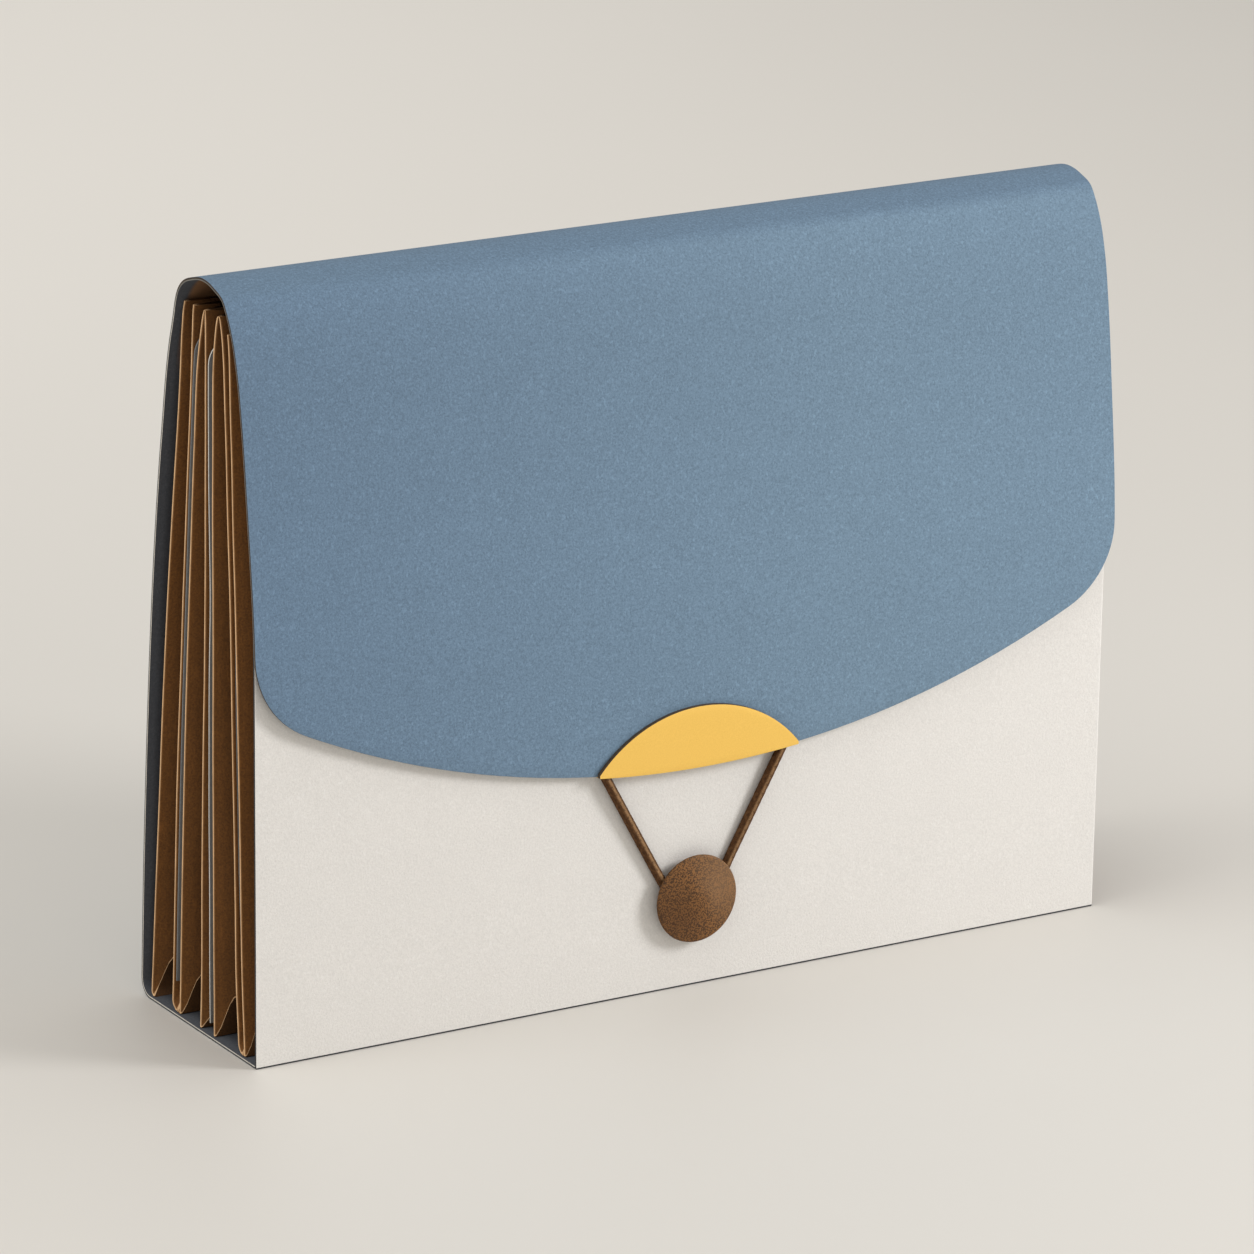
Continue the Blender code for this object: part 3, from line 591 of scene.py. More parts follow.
def paper_look(name, colour, contrast, cloud=0.012, relief=0.40, shade=None, bloom=None):
    """Matte paper: a fine mottled tooth with lighter specks and soft clouding.

    shade(look) gives a grey to multiply by, and bloom(look) a factor and a colour to mix in.
    """
    look = Look(name)
    tooth = look.noise(PAPER_TOOTH, 3.0, 0.65)
    mottle = look.noise(PAPER_MOTTLE, 2.0, 0.55)
    specks = look.noise(PAPER_SPECKS, 1.0, 0.5, (1.0, 1.0, 0.75))
    clouds = look.noise(PAPER_CLOUD, 2.0, 0.5)
    grain = look.math("ADD", look.times(tooth, 0.55), look.times(mottle, 0.45))
    dark, light = tinted(colour, 1 - contrast), tinted(colour, 1 + contrast)
    tint = look.mix(look.spread(grain, 0.36, 0.64), dark, light)
    cloudy = look.mix(look.spread(clouds, 0.35, 0.65), [1 - cloud] * 3, [1 + cloud] * 3)
    tint = look.mix(1.0, tint, cloudy, "MULTIPLY")
    flecks = look.spread(specks, 0.62, 0.70, 0.0, 2.2 * contrast)
    tint = look.mix(flecks, tint, tinted(colour, 1.5))
    if shade:
        tint = look.mix(1.0, tint, shade(look), "MULTIPLY")
    if bloom:
        factor, other = bloom(look)
        tint = look.mix(factor, tint, other)
    rough = look.spread(tooth, *EVEN, 0.75, 0.86)
    return look.finish(tint, rough, look.bump(grain, relief, 0.00020), specular=0.30)


def painted_flap_light(look):
    """Painted light and shade: the flap's blue is darker towards its left side and its top and lighter to
    the right, as the light falls, and the roll is painted evenly darker.
    """
    x, _, z = look.axes()
    across = look.mix(look.spread(x, *FLAP_LIGHT_X), BLUE_SHADED_LEFT, BLUE_LIT_RIGHT)
    across = look.mix(1.0, across, look.grey(look.spread(z, *FLAP_SHADE_Z, 1.0, 0.92)), "MULTIPLY")
    return look.mix(look.spread(z, *ROLL_SHADE_Z), across, BLUE_ROLL_SHADE)


def painted_mouth_shade(look):
    """Painted shade: inside the rear pocket's mouth the lining is painted brown, away from its side edges,
    to stand for the brown shade there.
    """
    _, y, z = look.axes()
    mouth = look.times(look.spread(z, *MOUTH_Z), look.spread(y, *MOUTH_Y))
    return look.times(mouth, look.sideways(*MOUTH_SIDE, 1.0, 0.0)), MOUTH_SHADE_BROWN


def painted_lining_shade(look):
    """Painted shade: the lining darkens inward, behind the pleats."""
    return look.grey(look.sideways(*LINING_SHADE_SIDE, 0.55, 1.05))


def painted_deep_shade(look):
    """A cut edge of kraft is tan at the fold and painted dark further in, as shade."""
    return look.sideways(*CUT_SHADE_SIDE, 1.0, 0.0), KRAFT_DEEP_SHADE


def painted_edge_highlight(look):
    """Painted highlight: the front board is paler along its side edges."""
    return look.times(look.worn_and_lit(), 0.6), CREAM_HIGHLIGHT


def kraft_look(name, depth):
    """Brown kraft paper, tan along its folds and cut edges: partly scuffing, partly painted highlight where
    the folds catch the light.
    """
    look = Look(name)
    base = tinted(KRAFT_BROWN, depth)
    tooth = look.noise(KRAFT_TOOTH, 3.0, 0.65)
    fibres = look.noise(KRAFT_FIBRES, 3.0, 0.7, (1.0, 1.0, 0.22))
    clouds = look.noise(KRAFT_CLOUD, 3.0, 0.6)
    tint = look.mix(look.spread(tooth, 0.34, 0.66), tinted(base, 0.72), tinted(base, 1.28))
    tint = look.mix(look.spread(fibres, 0.52, 0.72, 0.0, 0.35), tint, tinted(base, 1.8))
    tint = look.mix(look.spread(clouds, 0.35, 0.75, 0.0, 0.25), tint, tinted(base, 0.60))
    # Painted shade: each leaf darkens inward from its ridge, and towards its top under the roll
    inward = look.sideways(*LEAF_SHADE_SIDE, 0.52, 1.12)
    shade_under_roll = look.spread(look.axes()[2], *LEAF_SHADE_Z, 1.0, 0.82)
    tint = look.mix(1.0, tint, look.grey(look.times(inward, shade_under_roll)), "MULTIPLY")
    # Tan along the folds and seams: partly scuffing, partly painted highlight
    ragged = look.times(look.worn_and_lit(), look.spread(fibres, 0.25, 0.60, 0.65, 1.0))
    tint = look.mix(ragged, tint, KRAFT_TAN)
    normal = look.bump(fibres, 0.25, 0.00010, look.bump(tooth, 0.35, 0.00012))
    return look.finish(tint, look.spread(tooth, *EVEN, 0.74, 0.88), normal, specular=0.25)


def core_look():
    """The cut edge of the cover: a thin pale line by the outer paper, and a dark core. Past the rear bend,
    over the roll and the flap, the line is painted grey and the core dark brown, as shade.
    """
    look = Look("board_edge_look")
    layers = look.noise(EDGE_LAYERS, 2.0, 0.6)
    runs = look.noise(EDGE_RUNS, 3.0, 0.7)
    inside = look.spread(look.marked("side"), *CORE_SPAN)
    tone = look.spread(layers, *EVEN)
    line = look.mix(look.worn_and_lit(), look.mix(tone, *PALE_LINE), look.mix(tone, *SHADED_GREY_LINE))
    tint = look.mix(inside, line, look.mix(look.worn_and_lit(), *BOARD_CORE_AND_SHADE))
    tint = look.mix(look.spread(runs, 0.45, 0.75, 0.0, 0.3), tint, BOARD_STAIN)
    return look.finish(tint, 0.85, look.bump(layers, 0.3, 0.0001))


def yellow_look():
    """Smooth coated card with a faint tooth."""
    look = Look("yellow_card_look")
    tooth = look.noise(CARD_TOOTH, 2.0, 0.6)
    clouds = look.noise(CARD_CLOUD, 2.0, 0.5)
    tint = look.mix(look.spread(tooth, *EVEN), *YELLOW_CARD)
    tint = look.mix(look.spread(clouds, *EVEN, 0.0, 0.12), tint, YELLOW_CLOUD)
    rough = look.spread(clouds, *EVEN, 0.52, 0.62)
    return look.finish(tint, rough, look.bump(tooth, 0.10, 0.00008))


def shaded_rim_look():
    """The tab's cut edge: brown, and painted dark to stand for its shaded side and the shadow beside it."""
    look = Look("tab_shaded_edge_look")
    grain = look.noise(TAB_EDGE_GRAIN, 3.0, 0.6)
    tint = look.mix(look.spread(grain, *EVEN), *TAB_EDGE_SHADE)
    return look.finish(tint, 0.7, look.bump(grain, 0.2, 0.0001))


def button_look():
    """Satin brown plastic with a fine spark-eroded grain, painted lighter to the upper right and darker to
    the left as light and shade.
    """
    look = Look("brown_button_look")
    grain = look.noise(BUTTON_GRAIN, 1.0, 0.6)
    clouds = look.noise(BUTTON_CLOUD, 3.0, 0.6)
    worn_and_lit = look.worn_and_lit()
    dark, light, pale = (tinted(BUTTON_BROWN, share) for share in (0.38, 1.70, 1.35))
    tint = look.mix(look.spread(grain, 0.45, 0.55), dark, light)
    tint = look.mix(look.spread(clouds, 0.4, 0.8, 0.0, 0.15), tint, pale)
    # Painted light to the upper right and painted shade to the left
    tint = look.mix(look.spread(worn_and_lit, 0.5, 1.0, 0.0, 0.40), tint, BUTTON_PAINTED_LIGHT)
    tint = look.mix(look.spread(worn_and_lit, 0.5, 0.0, 0.0, 0.40), tint, BUTTON_PAINTED_SHADE)
    rough = look.spread(grain, *EVEN, 0.50, 0.66)
    return look.finish(tint, rough, look.bump(grain, 0.30, 0.00010), specular=0.30)


def cord_look():
    """Braided elastic: dark brown yarns, with a painted tan highlight along one side."""
    look = Look("brown_elastic_look")
    fuzz = look.noise(CORD_FUZZ, 3.0, 0.7)
    strand, relief, highlight_band = (look.marked(name) for name in ("strand", "relief", "highlight_band"))
    tint = look.mix(look.spread(fuzz, 0.32, 0.68), *YARN_BROWN)
    tint = look.mix(look.spread(strand, 0.80, 0.95, 0.0, 0.20), tint, YARN_LIGHT)
    broken_highlight = look.times(highlight_band, look.spread(fuzz, 0.40, 0.56, 0.35, 0.95))
    tint = look.mix(broken_highlight, tint, HIGHLIGHT_TAN)
    tint = look.mix(look.spread(relief, 0.0, 0.40, 0.55, 0.0), tint, YARN_GAP)
    rough = look.spread(fuzz, *EVEN, 0.66, 0.88)
    return look.finish(tint, rough, look.bump(fuzz, 0.5, 0.00012), specular=0.20)


def metal_look():
    """Dull brass with turning marks."""
    look = Look("rivet_metal_look")
    marks = look.noise(METAL_MARKS, 3.0, 0.6, (1.0, 6.0, 1.0))
    tint = look.mix(look.spread(marks, *EVEN), *BRASS)
    look.shader.inputs["Metallic"].default_value = 1.0
    rough = look.spread(marks, *EVEN, 0.28, 0.45)
    return look.finish(tint, rough, look.bump(marks, 0.1, 0.00005))


def floor_look():
    """A pale sheet with faint clouding."""
    look = Look("floor_look")
    clouds = look.noise(FLOOR_CLOUD, 2.0, 0.5)
    return look.finish(look.mix(look.spread(clouds, *EVEN), *FLOOR_PALE), 0.55)


# Shape helpers


def finish_mesh(name, bm, looks):
    mesh = bpy.data.meshes.new(name)
    bm.to_mesh(mesh)
    bm.free()
    mesh.shade_smooth()
    for look in looks:
        mesh.materials.append(look)
    obj = bpy.data.objects.new(name, mesh)
    bpy.context.scene.collection.objects.link(obj)
    return obj


def sheet(name, columns, rows, place, thickness, looks, wear_and_painted_light=None):
    """A sheet laid out by place(column, row) on its middle line, thickened and softly edged.

    looks is the side facing along columns x rows, the other side, and the cut edge.
    The last argument, given a column and a row, gives each vertex a mark that the looks turn into scuffing,
    painted highlight and painted shade. Each vertex keeps its row, to be split on, and its side, for the
    look of the cut edge.
    """
    bm = bmesh.new()
    bmesh.ops.create_grid(bm, x_segments=columns, y_segments=rows, size=0.5)
    worn_and_lit = bm.verts.layers.float.new("wear_and_painted_light")
    stretch = bm.verts.layers.float.new("row")
    for vert in bm.verts:
        column = round((vert.co.x + 0.5) * columns)
        row = round((vert.co.y + 0.5) * rows)
        vert[worn_and_lit] = wear_and_painted_light(column, row) if wear_and_painted_light else 0.0
        vert[stretch] = row
        x, y, z = place(column, row)
        vert.co = (x, y - ORIGIN_Y, z)
    obj = finish_mesh(name, bm, looks)
    count = len(obj.data.vertices)
    slots = {"material_offset": 1, "material_offset_rim": CUT_EDGE}
    modify(obj, "SOLIDIFY", thickness=thickness, offset=0.0, use_even_offset=True, **slots)
    side = obj.data.attributes.new("side", "FLOAT", "POINT")
    side.data.foreach_set("value", [float(index >= count) for index in range(len(side.data))])
    width, angle = min(EDGE_WIDTH, thickness / 4), radians(EDGE_ANGLE)
    modify(obj, "BEVEL", width=width, segments=2, limit_method="ANGLE", angle_limit=angle)
    return obj


def modify(obj, kind, **settings):
    """Works a modifier into the mesh itself, as a piece that bends needs."""
    modifier = obj.modifiers.new(kind, kind)
    for key, value in settings.items():
        setattr(modifier, key, value)
    graph = bpy.context.evaluated_depsgraph_get()
    final = bpy.data.meshes.new_from_object(obj.evaluated_get(graph))
    obj.modifiers.clear()
    obj.data = final


def stretch_of(whole, name, first, last):
    """The part of a sheet between two of its rows, open where it meets the next part."""
    bm = bmesh.new()
    bm.from_mesh(whole.data)
    layer = bm.verts.layers.float["row"]
    rows = {face: sum(vert[layer] for vert in face.verts) / len(face.verts) for face in bm.faces}
    gone = [face for face, row in rows.items() if not first < row < last]
    bmesh.ops.delete(bm, geom=gone, context="FACES")
    return finish_mesh(name, bm, whole.data.materials)


def dress(node, look):
    """A CAD node keeps its shape and takes a new material."""
    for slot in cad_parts[node].material_slots:
        slot.material = look


def place_at(length):
    """The point on the cover's middle line at this length, in the frame."""
    y, z = cover_point(length, COVER_BOARD / 2)
    return Vector((0.0, y - ORIGIN_Y, z))


# Cover


def flap_edge(column):
    """(x, z) on the flap's lower outline: left corner, long arc, right corner."""
    half = WIDTH / 2 + FLAP_OVERHANG
    radius = FLAP_CORNER_RADIUS
    corner_x = half - radius
    corner_z = ARC_Z - sqrt((FLAP_ARC_RADIUS - radius) ** 2 - corner_x**2)
    tangent = atan2(corner_z - ARC_Z, corner_x)
    side = -1 if column < COVER_COLUMNS / 2 else 1
    step = min(column, COVER_COLUMNS - column)
    if step <= CORNER_COLUMNS:
        angle = tangent * step / CORNER_COLUMNS
        return side * (corner_x + radius * cos(angle)), corner_z + radius * sin(angle)
    share = (step - CORNER_COLUMNS) / (ARC_COLUMNS / 2)
    angle = tangent + (-pi / 2 - tangent) * share
    return side * FLAP_ARC_RADIUS * cos(angle), ARC_Z + FLAP_ARC_RADIUS * sin(angle)


def half_width(length):
    """The back is as wide as the folder, and the flap overhangs it a little at each side."""
    share = (length - CREASES[0]) / WIDENING + WIDENING_START
    return WIDTH / 2 + FLAP_OVERHANG * smooth_step(share)


def cover_look_rows():
    """(half width, y, z) of each row from the bottom's front edge to the flap's start.

    It also gives the row on which each stretch ends.
    """
    corner_y, corner_z = PLACES[0][0] - CORNER_RADIUS, CORNER_RADIUS
    radius = CORNER_RADIUS - COVER_BOARD / 2
    front = COVER_BOARD + CLEARANCE
    rows = [
        (WIDTH / 2, front + (corner_y - front) * step / BOTTOM_ROWS, COVER_BOARD / 2)
        for step in range(BOTTOM_ROWS)
    ]
    for step in range(TURN_ROWS):
        angle = radians(-90 + 90 * step / TURN_ROWS)
        rows.append((WIDTH / 2, corner_y + radius * cos(angle), corner_z + radius * sin(angle)))
    ends = []
    for start, end, count in zip(BENDS, BENDS[1:], (BACK_ROWS, BEND_ROWS, BEND_ROWS, BEND_ROWS)):
        for step in range(count):
            length = start + (end - start) * step / count
            rows.append((half_width(length), *cover_point(length, COVER_BOARD / 2)))
        ends.append(len(rows))
    return rows, ends


def make_cover():
    rows, ends = cover_look_rows()
    last = len(rows) + FLAP_ROWS

    def place(column, row):
        x, low = flap_edge(column)
        if row < len(rows):
            half, y, z = rows[row]
            return x * half / (WIDTH / 2 + FLAP_OVERHANG), y, z
        end = face_at(low, COVER_BOARD / 2, True)[0]
        share = ((row - len(rows)) / FLAP_ROWS) ** FLAP_CROWDING
        return x, *cover_point(BENDS[-1] + (end - BENDS[-1]) * share, COVER_BOARD / 2)

    # Painted shade: none on the back, rising past the rear bend, where the cut edge is painted darker
    def wear_and_painted_light(column, row):
        return smooth_step((row - ends[0]) / (BEND_SHADE_SHARE * BEND_ROWS))

    looks = (LINING, BLUE, BOARD_EDGE)
    whole = sheet("cover", COVER_COLUMNS, last, place, COVER_BOARD, looks, wear_and_painted_light)
    limits = [-1, *ends, last + 1]
    names = ("cover_back", "cover_bend_rear", "cover_bend_top", "cover_bend_front", "cover_flap")
    back, rear, top, front, flap = (
        stretch_of(whole, name, first, end)
        for name, first, end in zip(names, limits, limits[1:])
    )
    bpy.data.objects.remove(whole)
    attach(back, "case")
    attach(flap, "flap_set")
    carriers = ("case", "roll_rear_strip", "roll_front_strip", "flap_set")
    bent = zip((rear, top, front), carriers, carriers[1:], BENDS[1:], BENDS[2:])
    for piece, a, b, start, end in bent:
        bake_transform(piece, a, b, place_at(start), place_at(end))
    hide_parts("back_panel", "bottom_panel")
    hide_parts("roll_rear")
    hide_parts("roll_front")
    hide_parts("flap_panel")


def make_front():
    """The front board: cream paper outside, lined inside, with a dark cut edge and foot."""
    spread = [step / FRONT_COLUMNS for step in range(1, FRONT_COLUMNS)]
    across = [0.0, BOARD_LINE / WIDTH, *spread, 1 - BOARD_LINE / WIDTH, 1.0]
    climb = [CLEARANCE / 4, BOARD_LINE]
    for step in range(1, FRONT_ROWS + 1):
        climb.append(BOARD_LINE + (FRONT_HEIGHT - BOARD_LINE) * step / FRONT_ROWS)

    def place(column, row):
        z = climb[row]
        return (2 * across[column] - 1) * WIDTH / 2, front_outside(z) + COVER_BOARD / 2, z

    # Painted highlight along the board's two side columns
    def wear_and_painted_light(column, row):
        return 1.0 if column in (0, len(across) - 1) else 0.0

    looks = (CREAM, LINING, FRONT_EDGE)
    panel = sheet("front_board", len(across) - 1, len(climb) - 1, place, COVER_BOARD, looks, wear_and_painted_light)
    for face in panel.data.polygons:
        if face.center.z < BOARD_LINE:
            face.material_index = CUT_EDGE
    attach(panel, "front_set")
    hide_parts("front_panel")


# Tab


def tab_bounds(x):
    """(low, high) of the half-moon at this x."""
    low = ARC_Z - sqrt((FLAP_ARC_RADIUS + TAB_LIP) ** 2 - x * x)
    top = FLAP_TIP_HEIGHT + TAB_RISE
    high = top - TAB_RADIUS + sqrt(TAB_RADIUS**2 - x * x)
    return low, high


def tab_reach():
    """x where the half-moon has narrowed to its blunt tip."""
    places = np.linspace(0.0, TAB_RADIUS, COVER_STEPS)
    widths = [high - low - TAB_TIP for low, high in map(tab_bounds, places)]
    return float(np.interp(0.0, widths[::-1], places[::-1]))


def make_tab():
    """The yellow half-moon, lying on the flap, its cut edge painted dark as shade."""
    reach = tab_reach()
    out = CLEARANCE / 2 + TAB_THICKNESS / 2

    def place(column, row):
        x = reach * sin(radians(-90 + 180 * column / TAB_COLUMNS))
        low, high = tab_bounds(x)
        z = low + (high - low) * row / TAB_ROWS + TAB_LIFT
        return x * TAB_STRETCH, flap_face(z, -out), z

    looks = (YELLOW, YELLOW, TAB_SHADED_EDGE)
    tab = sheet("half_moon", TAB_COLUMNS, TAB_ROWS, place, TAB_THICKNESS, looks)
    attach(tab, "flap_set")
    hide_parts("tab")


# Gussets


def pocket_faces(pocket, z):
    """y of the faces behind and in front of a pocket, counted from the back."""
    half = DIVIDER_SHEET / 2
    rear = back_face(z) if pocket == 0 else divider_middle(pocket - 1, z) - half
    front = front_face(z) if pocket == POCKETS - 1 else divider_middle(pocket, z) + half
    return rear, front


def ridge_stand(index, side, z):
    """How far a ridge stands off a divider's middle plane: side 0 is behind it, 1 in front."""
    foot, upper = RIDGE_STANDS[index][side]
    return foot + (upper - foot) * min(2 * z / PLEAT_TOP, 1.0)


WANDER_LINES = {
    line: smooth_line(list(zip(WANDER_HEIGHTS, places)), COVER_STEPS)[0].T
    for line, places in WANDERS.items()
}


def wander(pocket, which, z):
    """How far a fold or card strays backward from its straight line, at this height."""
    if (pocket, which) not in WANDERS:
        return 0.0
    heights, places = WANDER_LINES[pocket, which]
    return 0.001 * float(np.interp(1000 * z, heights, places))


def ridge_lines(pocket, z):
    """y of a strip's two ridges, standing off the sheets beside it.

    At the foot of a wrapped pocket the front ridge runs under the divider to the next strip.
    """
    rear, front = pocket_faces(pocket, z)
    seat = CLEARANCE + KRAFT / 2 + RIDGE_RADIUS
    if pocket == 0:
        standing = (REAR_PLEAT_FOOT, REAR_PLEAT_MIDDLE, REAR_PLEAT_TOP)
        ridge = min(rear - three_point(standing, z / PLEAT_TOP), corner_face(z) - seat - CLEARANCE)
    else:
        ridge = divider_middle(pocket - 1, z) - ridge_stand(pocket - 1, 1, z)
    front_ridge = front + seat
    if pocket < POCKETS - 1:
        behind, ahead = (ridge_stand(pocket, side, z) for side in (0, 1))
        turn = max(FOOT + FOOT_WRAP - z, 0.0) / FOOT_WRAP
        under = 1 - sqrt(max(1 - turn**2, 0.0)) if pocket in WRAPPED else 0.0
        front_ridge = divider_middle(pocket, z) + behind - (behind + ahead - FOLD_RADIUS) * under
    ridge += wander(pocket, "rear", z)
    front_ridge += wander(pocket, "front", z)
    peak = ARCH_PEAKS[pocket]
    above = (z - ARCH_TOP) / ARCH_RISES[pocket] + 1
    if peak is not None and above > 0:
        apart = sqrt(max(1 - above**2, 0.0))
        middle = front_ridge + peak * (ridge - front_ridge)
        closed = KRAFT_SHEET / 2 * (1 - apart)
        ridge = middle + (ridge - middle) * apart + closed
        front_ridge = middle + (front_ridge - middle) * apart - closed
    return rear, ridge, front_ridge, front


def flared(side, inward, y, z):
    """A point of a strip, which spreads outward and forward a little at its foot."""
    spread = max(1 - (z - FOOT) / FLARE_RISE, 0.0) ** 2
    outside = WIDTH / 2 - PLEAT_INSET + FLARE * spread
    return side * (outside - inward), y - FLARE_LEAN * spread, z


def fold_arc(centre, inward, outwards, radius):
    """(inward, y, tan mark) round a fold, run from back to front, its tip at this inward place; the tan mark
    is partly scuffing, partly painted highlight.
    """
    arc = []
    for step in range(FOLD_STEPS + 1):
        turn = sin(pi * step / FOLD_STEPS)
        y = centre + radius * cos(pi * step / FOLD_STEPS)
        worn_and_lit = turn**FOLD_TAN_POWER if outwards > 0 else 0.0
        arc.append((inward + outwards * radius * (1 - turn), y, worn_and_lit))
    return arc


def pleat_section(pocket, z):
    """(inward, y, tan mark) along one pocket's folded strip at a height, from back to front."""
    rear, ridge, front_ridge, front = ridge_lines(pocket, z)
    seat = CLEARANCE + KRAFT_SHEET / 2
    radius = min(FOLD_RADIUS, (ridge - front_ridge) / 4)
    valley = (ridge + front_ridge) / 2
    depth = sqrt(PLEAT_LEAF**2 - (ridge - valley) ** 2)
    margin = GLUE_MARGIN
    line = [(margin, rear - seat, 0.0)]
    if pocket == 0:
        crease = depth * REAR_FOLD_SHARE
        line = [(crease + margin, rear - seat, 0.0), (crease, rear - seat, 0.0)]
    arcs = (
        fold_arc(ridge, 0.0, 1, radius),
        fold_arc(valley, depth, -1, radius),
        fold_arc(front_ridge, 0.0, 1, radius),
    )
    for arc, following in zip(arcs, arcs[1:]):
        line += arc
        start, end = arc[-1], following[0]
        for step in range(1, LEAF_STEPS):
            share = step / LEAF_STEPS
            line.append(tuple(a + (b - a) * share for a, b in zip(start, end)))
    return line + arcs[-1] + [(margin, front + seat, 0.0)]


def mitre_height(inward):
    """z of the seam where the side strip turns under the pocket: an S from its foot."""
    return FOOT + MITRE_RISE * smooth_step(inward / MITRE_RUN)


def side_rows(low, rise):
    """Heights up a side strip, crowded at its foot and round the arch at its top."""
    start = ARCH_TOP - rise
    curl = CURL_RISE - SEAM_WIDTH
    climb = [low, low + SEAM_WIDTH]
    climb += [low + SEAM_WIDTH + curl * (step / CURL_ROWS) ** 2 for step in range(1, CURL_ROWS + 1)]
    low += CURL_RISE
    climb += [low + (start - low) * step / PLEAT_ROWS for step in range(1, PLEAT_ROWS)]
    turns = [radians(90 * step / ARCH_ROWS) for step in range(ARCH_ROWS + 1)]
    return climb + [start + rise * sin(turn) for turn in turns]


def side_gusset(pocket, side):
    feet = pleat_section(pocket, FOOT + FOOT_WRAP)
    drop = ARCH_TOP - PLEAT_TOPS[pocket]
    heights = [side_rows(mitre_height(inward), ARCH_RISES[pocket]) for inward, _, _ in feet]
    sections = {}

    def at(column, row):
        z = heights[column][row]
        if z not in sections:
            sections[z] = pleat_section(pocket, z)
        return z, sections[z][column]

    def place(column, row):
        z, (inward, y, _) = at(column, row)
        spot = (z * SWAY_UP, pocket * SWAY_POCKET + inward * SWAY_ACROSS, side * SWAY_SIDE)
        free = smooth_step((ARCH_TOP - z) / ARCH_RISES[pocket])
        sway = noise.noise(spot) * PAPER_SWAY * (smooth_step(inward / PLEAT_LEAF * 2) * free)
        x, y, z = flared(side, inward, y + sway, z)
        return x, y, z - drop * (z / ARCH_TOP) ** PLEAT_TOP_POWER

    def wear_and_painted_light(column, row):
        _, (_, _, worn_and_lit) = at(column, row)
        return max(SEAM_TAN, worn_and_lit) if row < SEAM_ROWS else worn_and_lit

    name = f"pleats_{'left' if side < 0 else 'right'}_{pocket + 1}"
    looks = (KRAFT_PAPER, KRAFT_PAPER, KRAFT_CUT)
    strip = sheet(name, len(feet) - 1, len(heights[0]) - 1, place, KRAFT_SHEET, looks, wear_and_painted_light)
    bend_between(strip, pocket)
    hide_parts(f"gusset_{'left' if side < 0 else 'right'}_{pocket + 1}")


def bottom_gusset(pocket):
    feet = pleat_section(pocket, FOOT + FOOT_WRAP)

    def place(column, row):
        inward = feet[column][0]
        z = mitre_height(inward)
        y = pleat_section(pocket, z)[column][1]
        x, y, z = flared(1, inward, y, z)
        return (2 * row / TENT_ROWS - 1) * x, y, z

    name = f"tent_{pocket + 1}"
    # The tents take the kraft painted in shade
    tent = sheet(name, len(feet) - 1, TENT_ROWS, place, KRAFT_SHEET, (KRAFT_PAINTED_SHADE,) * 3)
    bend_between(tent, pocket)
    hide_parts(f"gusset_bottom_{pocket + 1}")


def make_divider(index):
    """A grey card with rounded top corners."""
    low, high, corner = CARD_FEET[index], DIVIDER_HEIGHT - CARD_DROPS[index], CARD_CORNER
    climb = [low + (high - corner - low) * step / CARD_ROWS for step in range(CARD_ROWS)]
    turns = [radians(90 * step / ARCH_ROWS) for step in range(ARCH_ROWS)]
    climb += [high - corner + corner * sin(turn) for turn in turns]

    def place(column, row):
        z = climb[row]
        drop = max(z - (high - corner), 0.0)
        half = WIDTH / 2 - CARD_INSETS[index] - corner + sqrt(corner**2 - drop**2)
        y = divider_middle(index, z) + wander(index, "card", z)
        return (2 * column / CARD_COLUMNS - 1) * half, y, z

    name = f"card_{index + 1}"
    looks = (GREY, GREY, CARD_EDGE if index == 1 else GREY)
    card = sheet(name, CARD_COLUMNS, len(climb) - 1, place, DIVIDER_SHEET, looks)
    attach(card, f"divider_{index + 1}_set")
    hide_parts(f"divider_{index + 1}")


def bend_between(obj, pocket):
    """The paper bends across the narrowest gap between its two ridges."""
    middles = []
    for z in (FOOT + FOOT_WRAP, ARCH_TOP - ARCH_RISES[pocket]):
        _, ridge, front_ridge, _ = ridge_lines(pocket, z)
        middles.append(Vector((0.0, (ridge + front_ridge) / 2 - ORIGIN_Y, z)))
        narrow = (ridge - front_ridge) / 2
    rise = (middles[1] - middles[0]).normalized()
    across = Vector((0.0, -rise.z, rise.y)) * narrow
    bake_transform(obj, CARRIERS[pocket], CARRIERS[pocket + 1], middles[1] - across, middles[1] + across)


# Button and cord


def join_rings(bm, rings, sides):
    """Faces from each ring of vertices to the next, where a ring can be a single point."""
    for low, high in zip(rings, rings[1:]):
        for step in range(sides):
            after = (step + 1) % sides
            corners = [low[step % len(low)], low[after % len(low)]]
            corners += [high[after % len(high)], high[step % len(high)]]
            bm.faces.new(list(dict.fromkeys(corners)))


def lathe(name, profile, spot, look, wear_and_painted_light):
    """A profile of (radius, height) turned about the spot's own Z."""
    bm = bmesh.new()
    worn_and_lit = bm.verts.layers.float.new("wear_and_painted_light")
    rings = []
    for radius, height in profile:
        ring = []
        for step in range(ROUND_STEPS if radius > 0 else 1):
            angle = 2 * pi * step / ROUND_STEPS
            local = Vector((radius * cos(angle), radius * sin(angle), height))
            vert = bm.verts.new(spot @ local)
            vert[worn_and_lit] = wear_and_painted_light(radius, angle)
            ring.append(vert)
        rings.append(ring)
    join_rings(bm, rings, ROUND_STEPS)
    bmesh.ops.recalc_face_normals(bm, faces=bm.faces)
    return finish_mesh(name, bm, (look,))


def button_spot():
    """The button's axis: its local Z stands square out of the front panel's outer face."""
    place = Matrix.Translation((0.0, front_outside(BUTTON_HEIGHT) - ORIGIN_Y, BUTTON_HEIGHT))
    return place @ Matrix.Rotation(radians(90) + BUTTON_TILT, 4, "X")


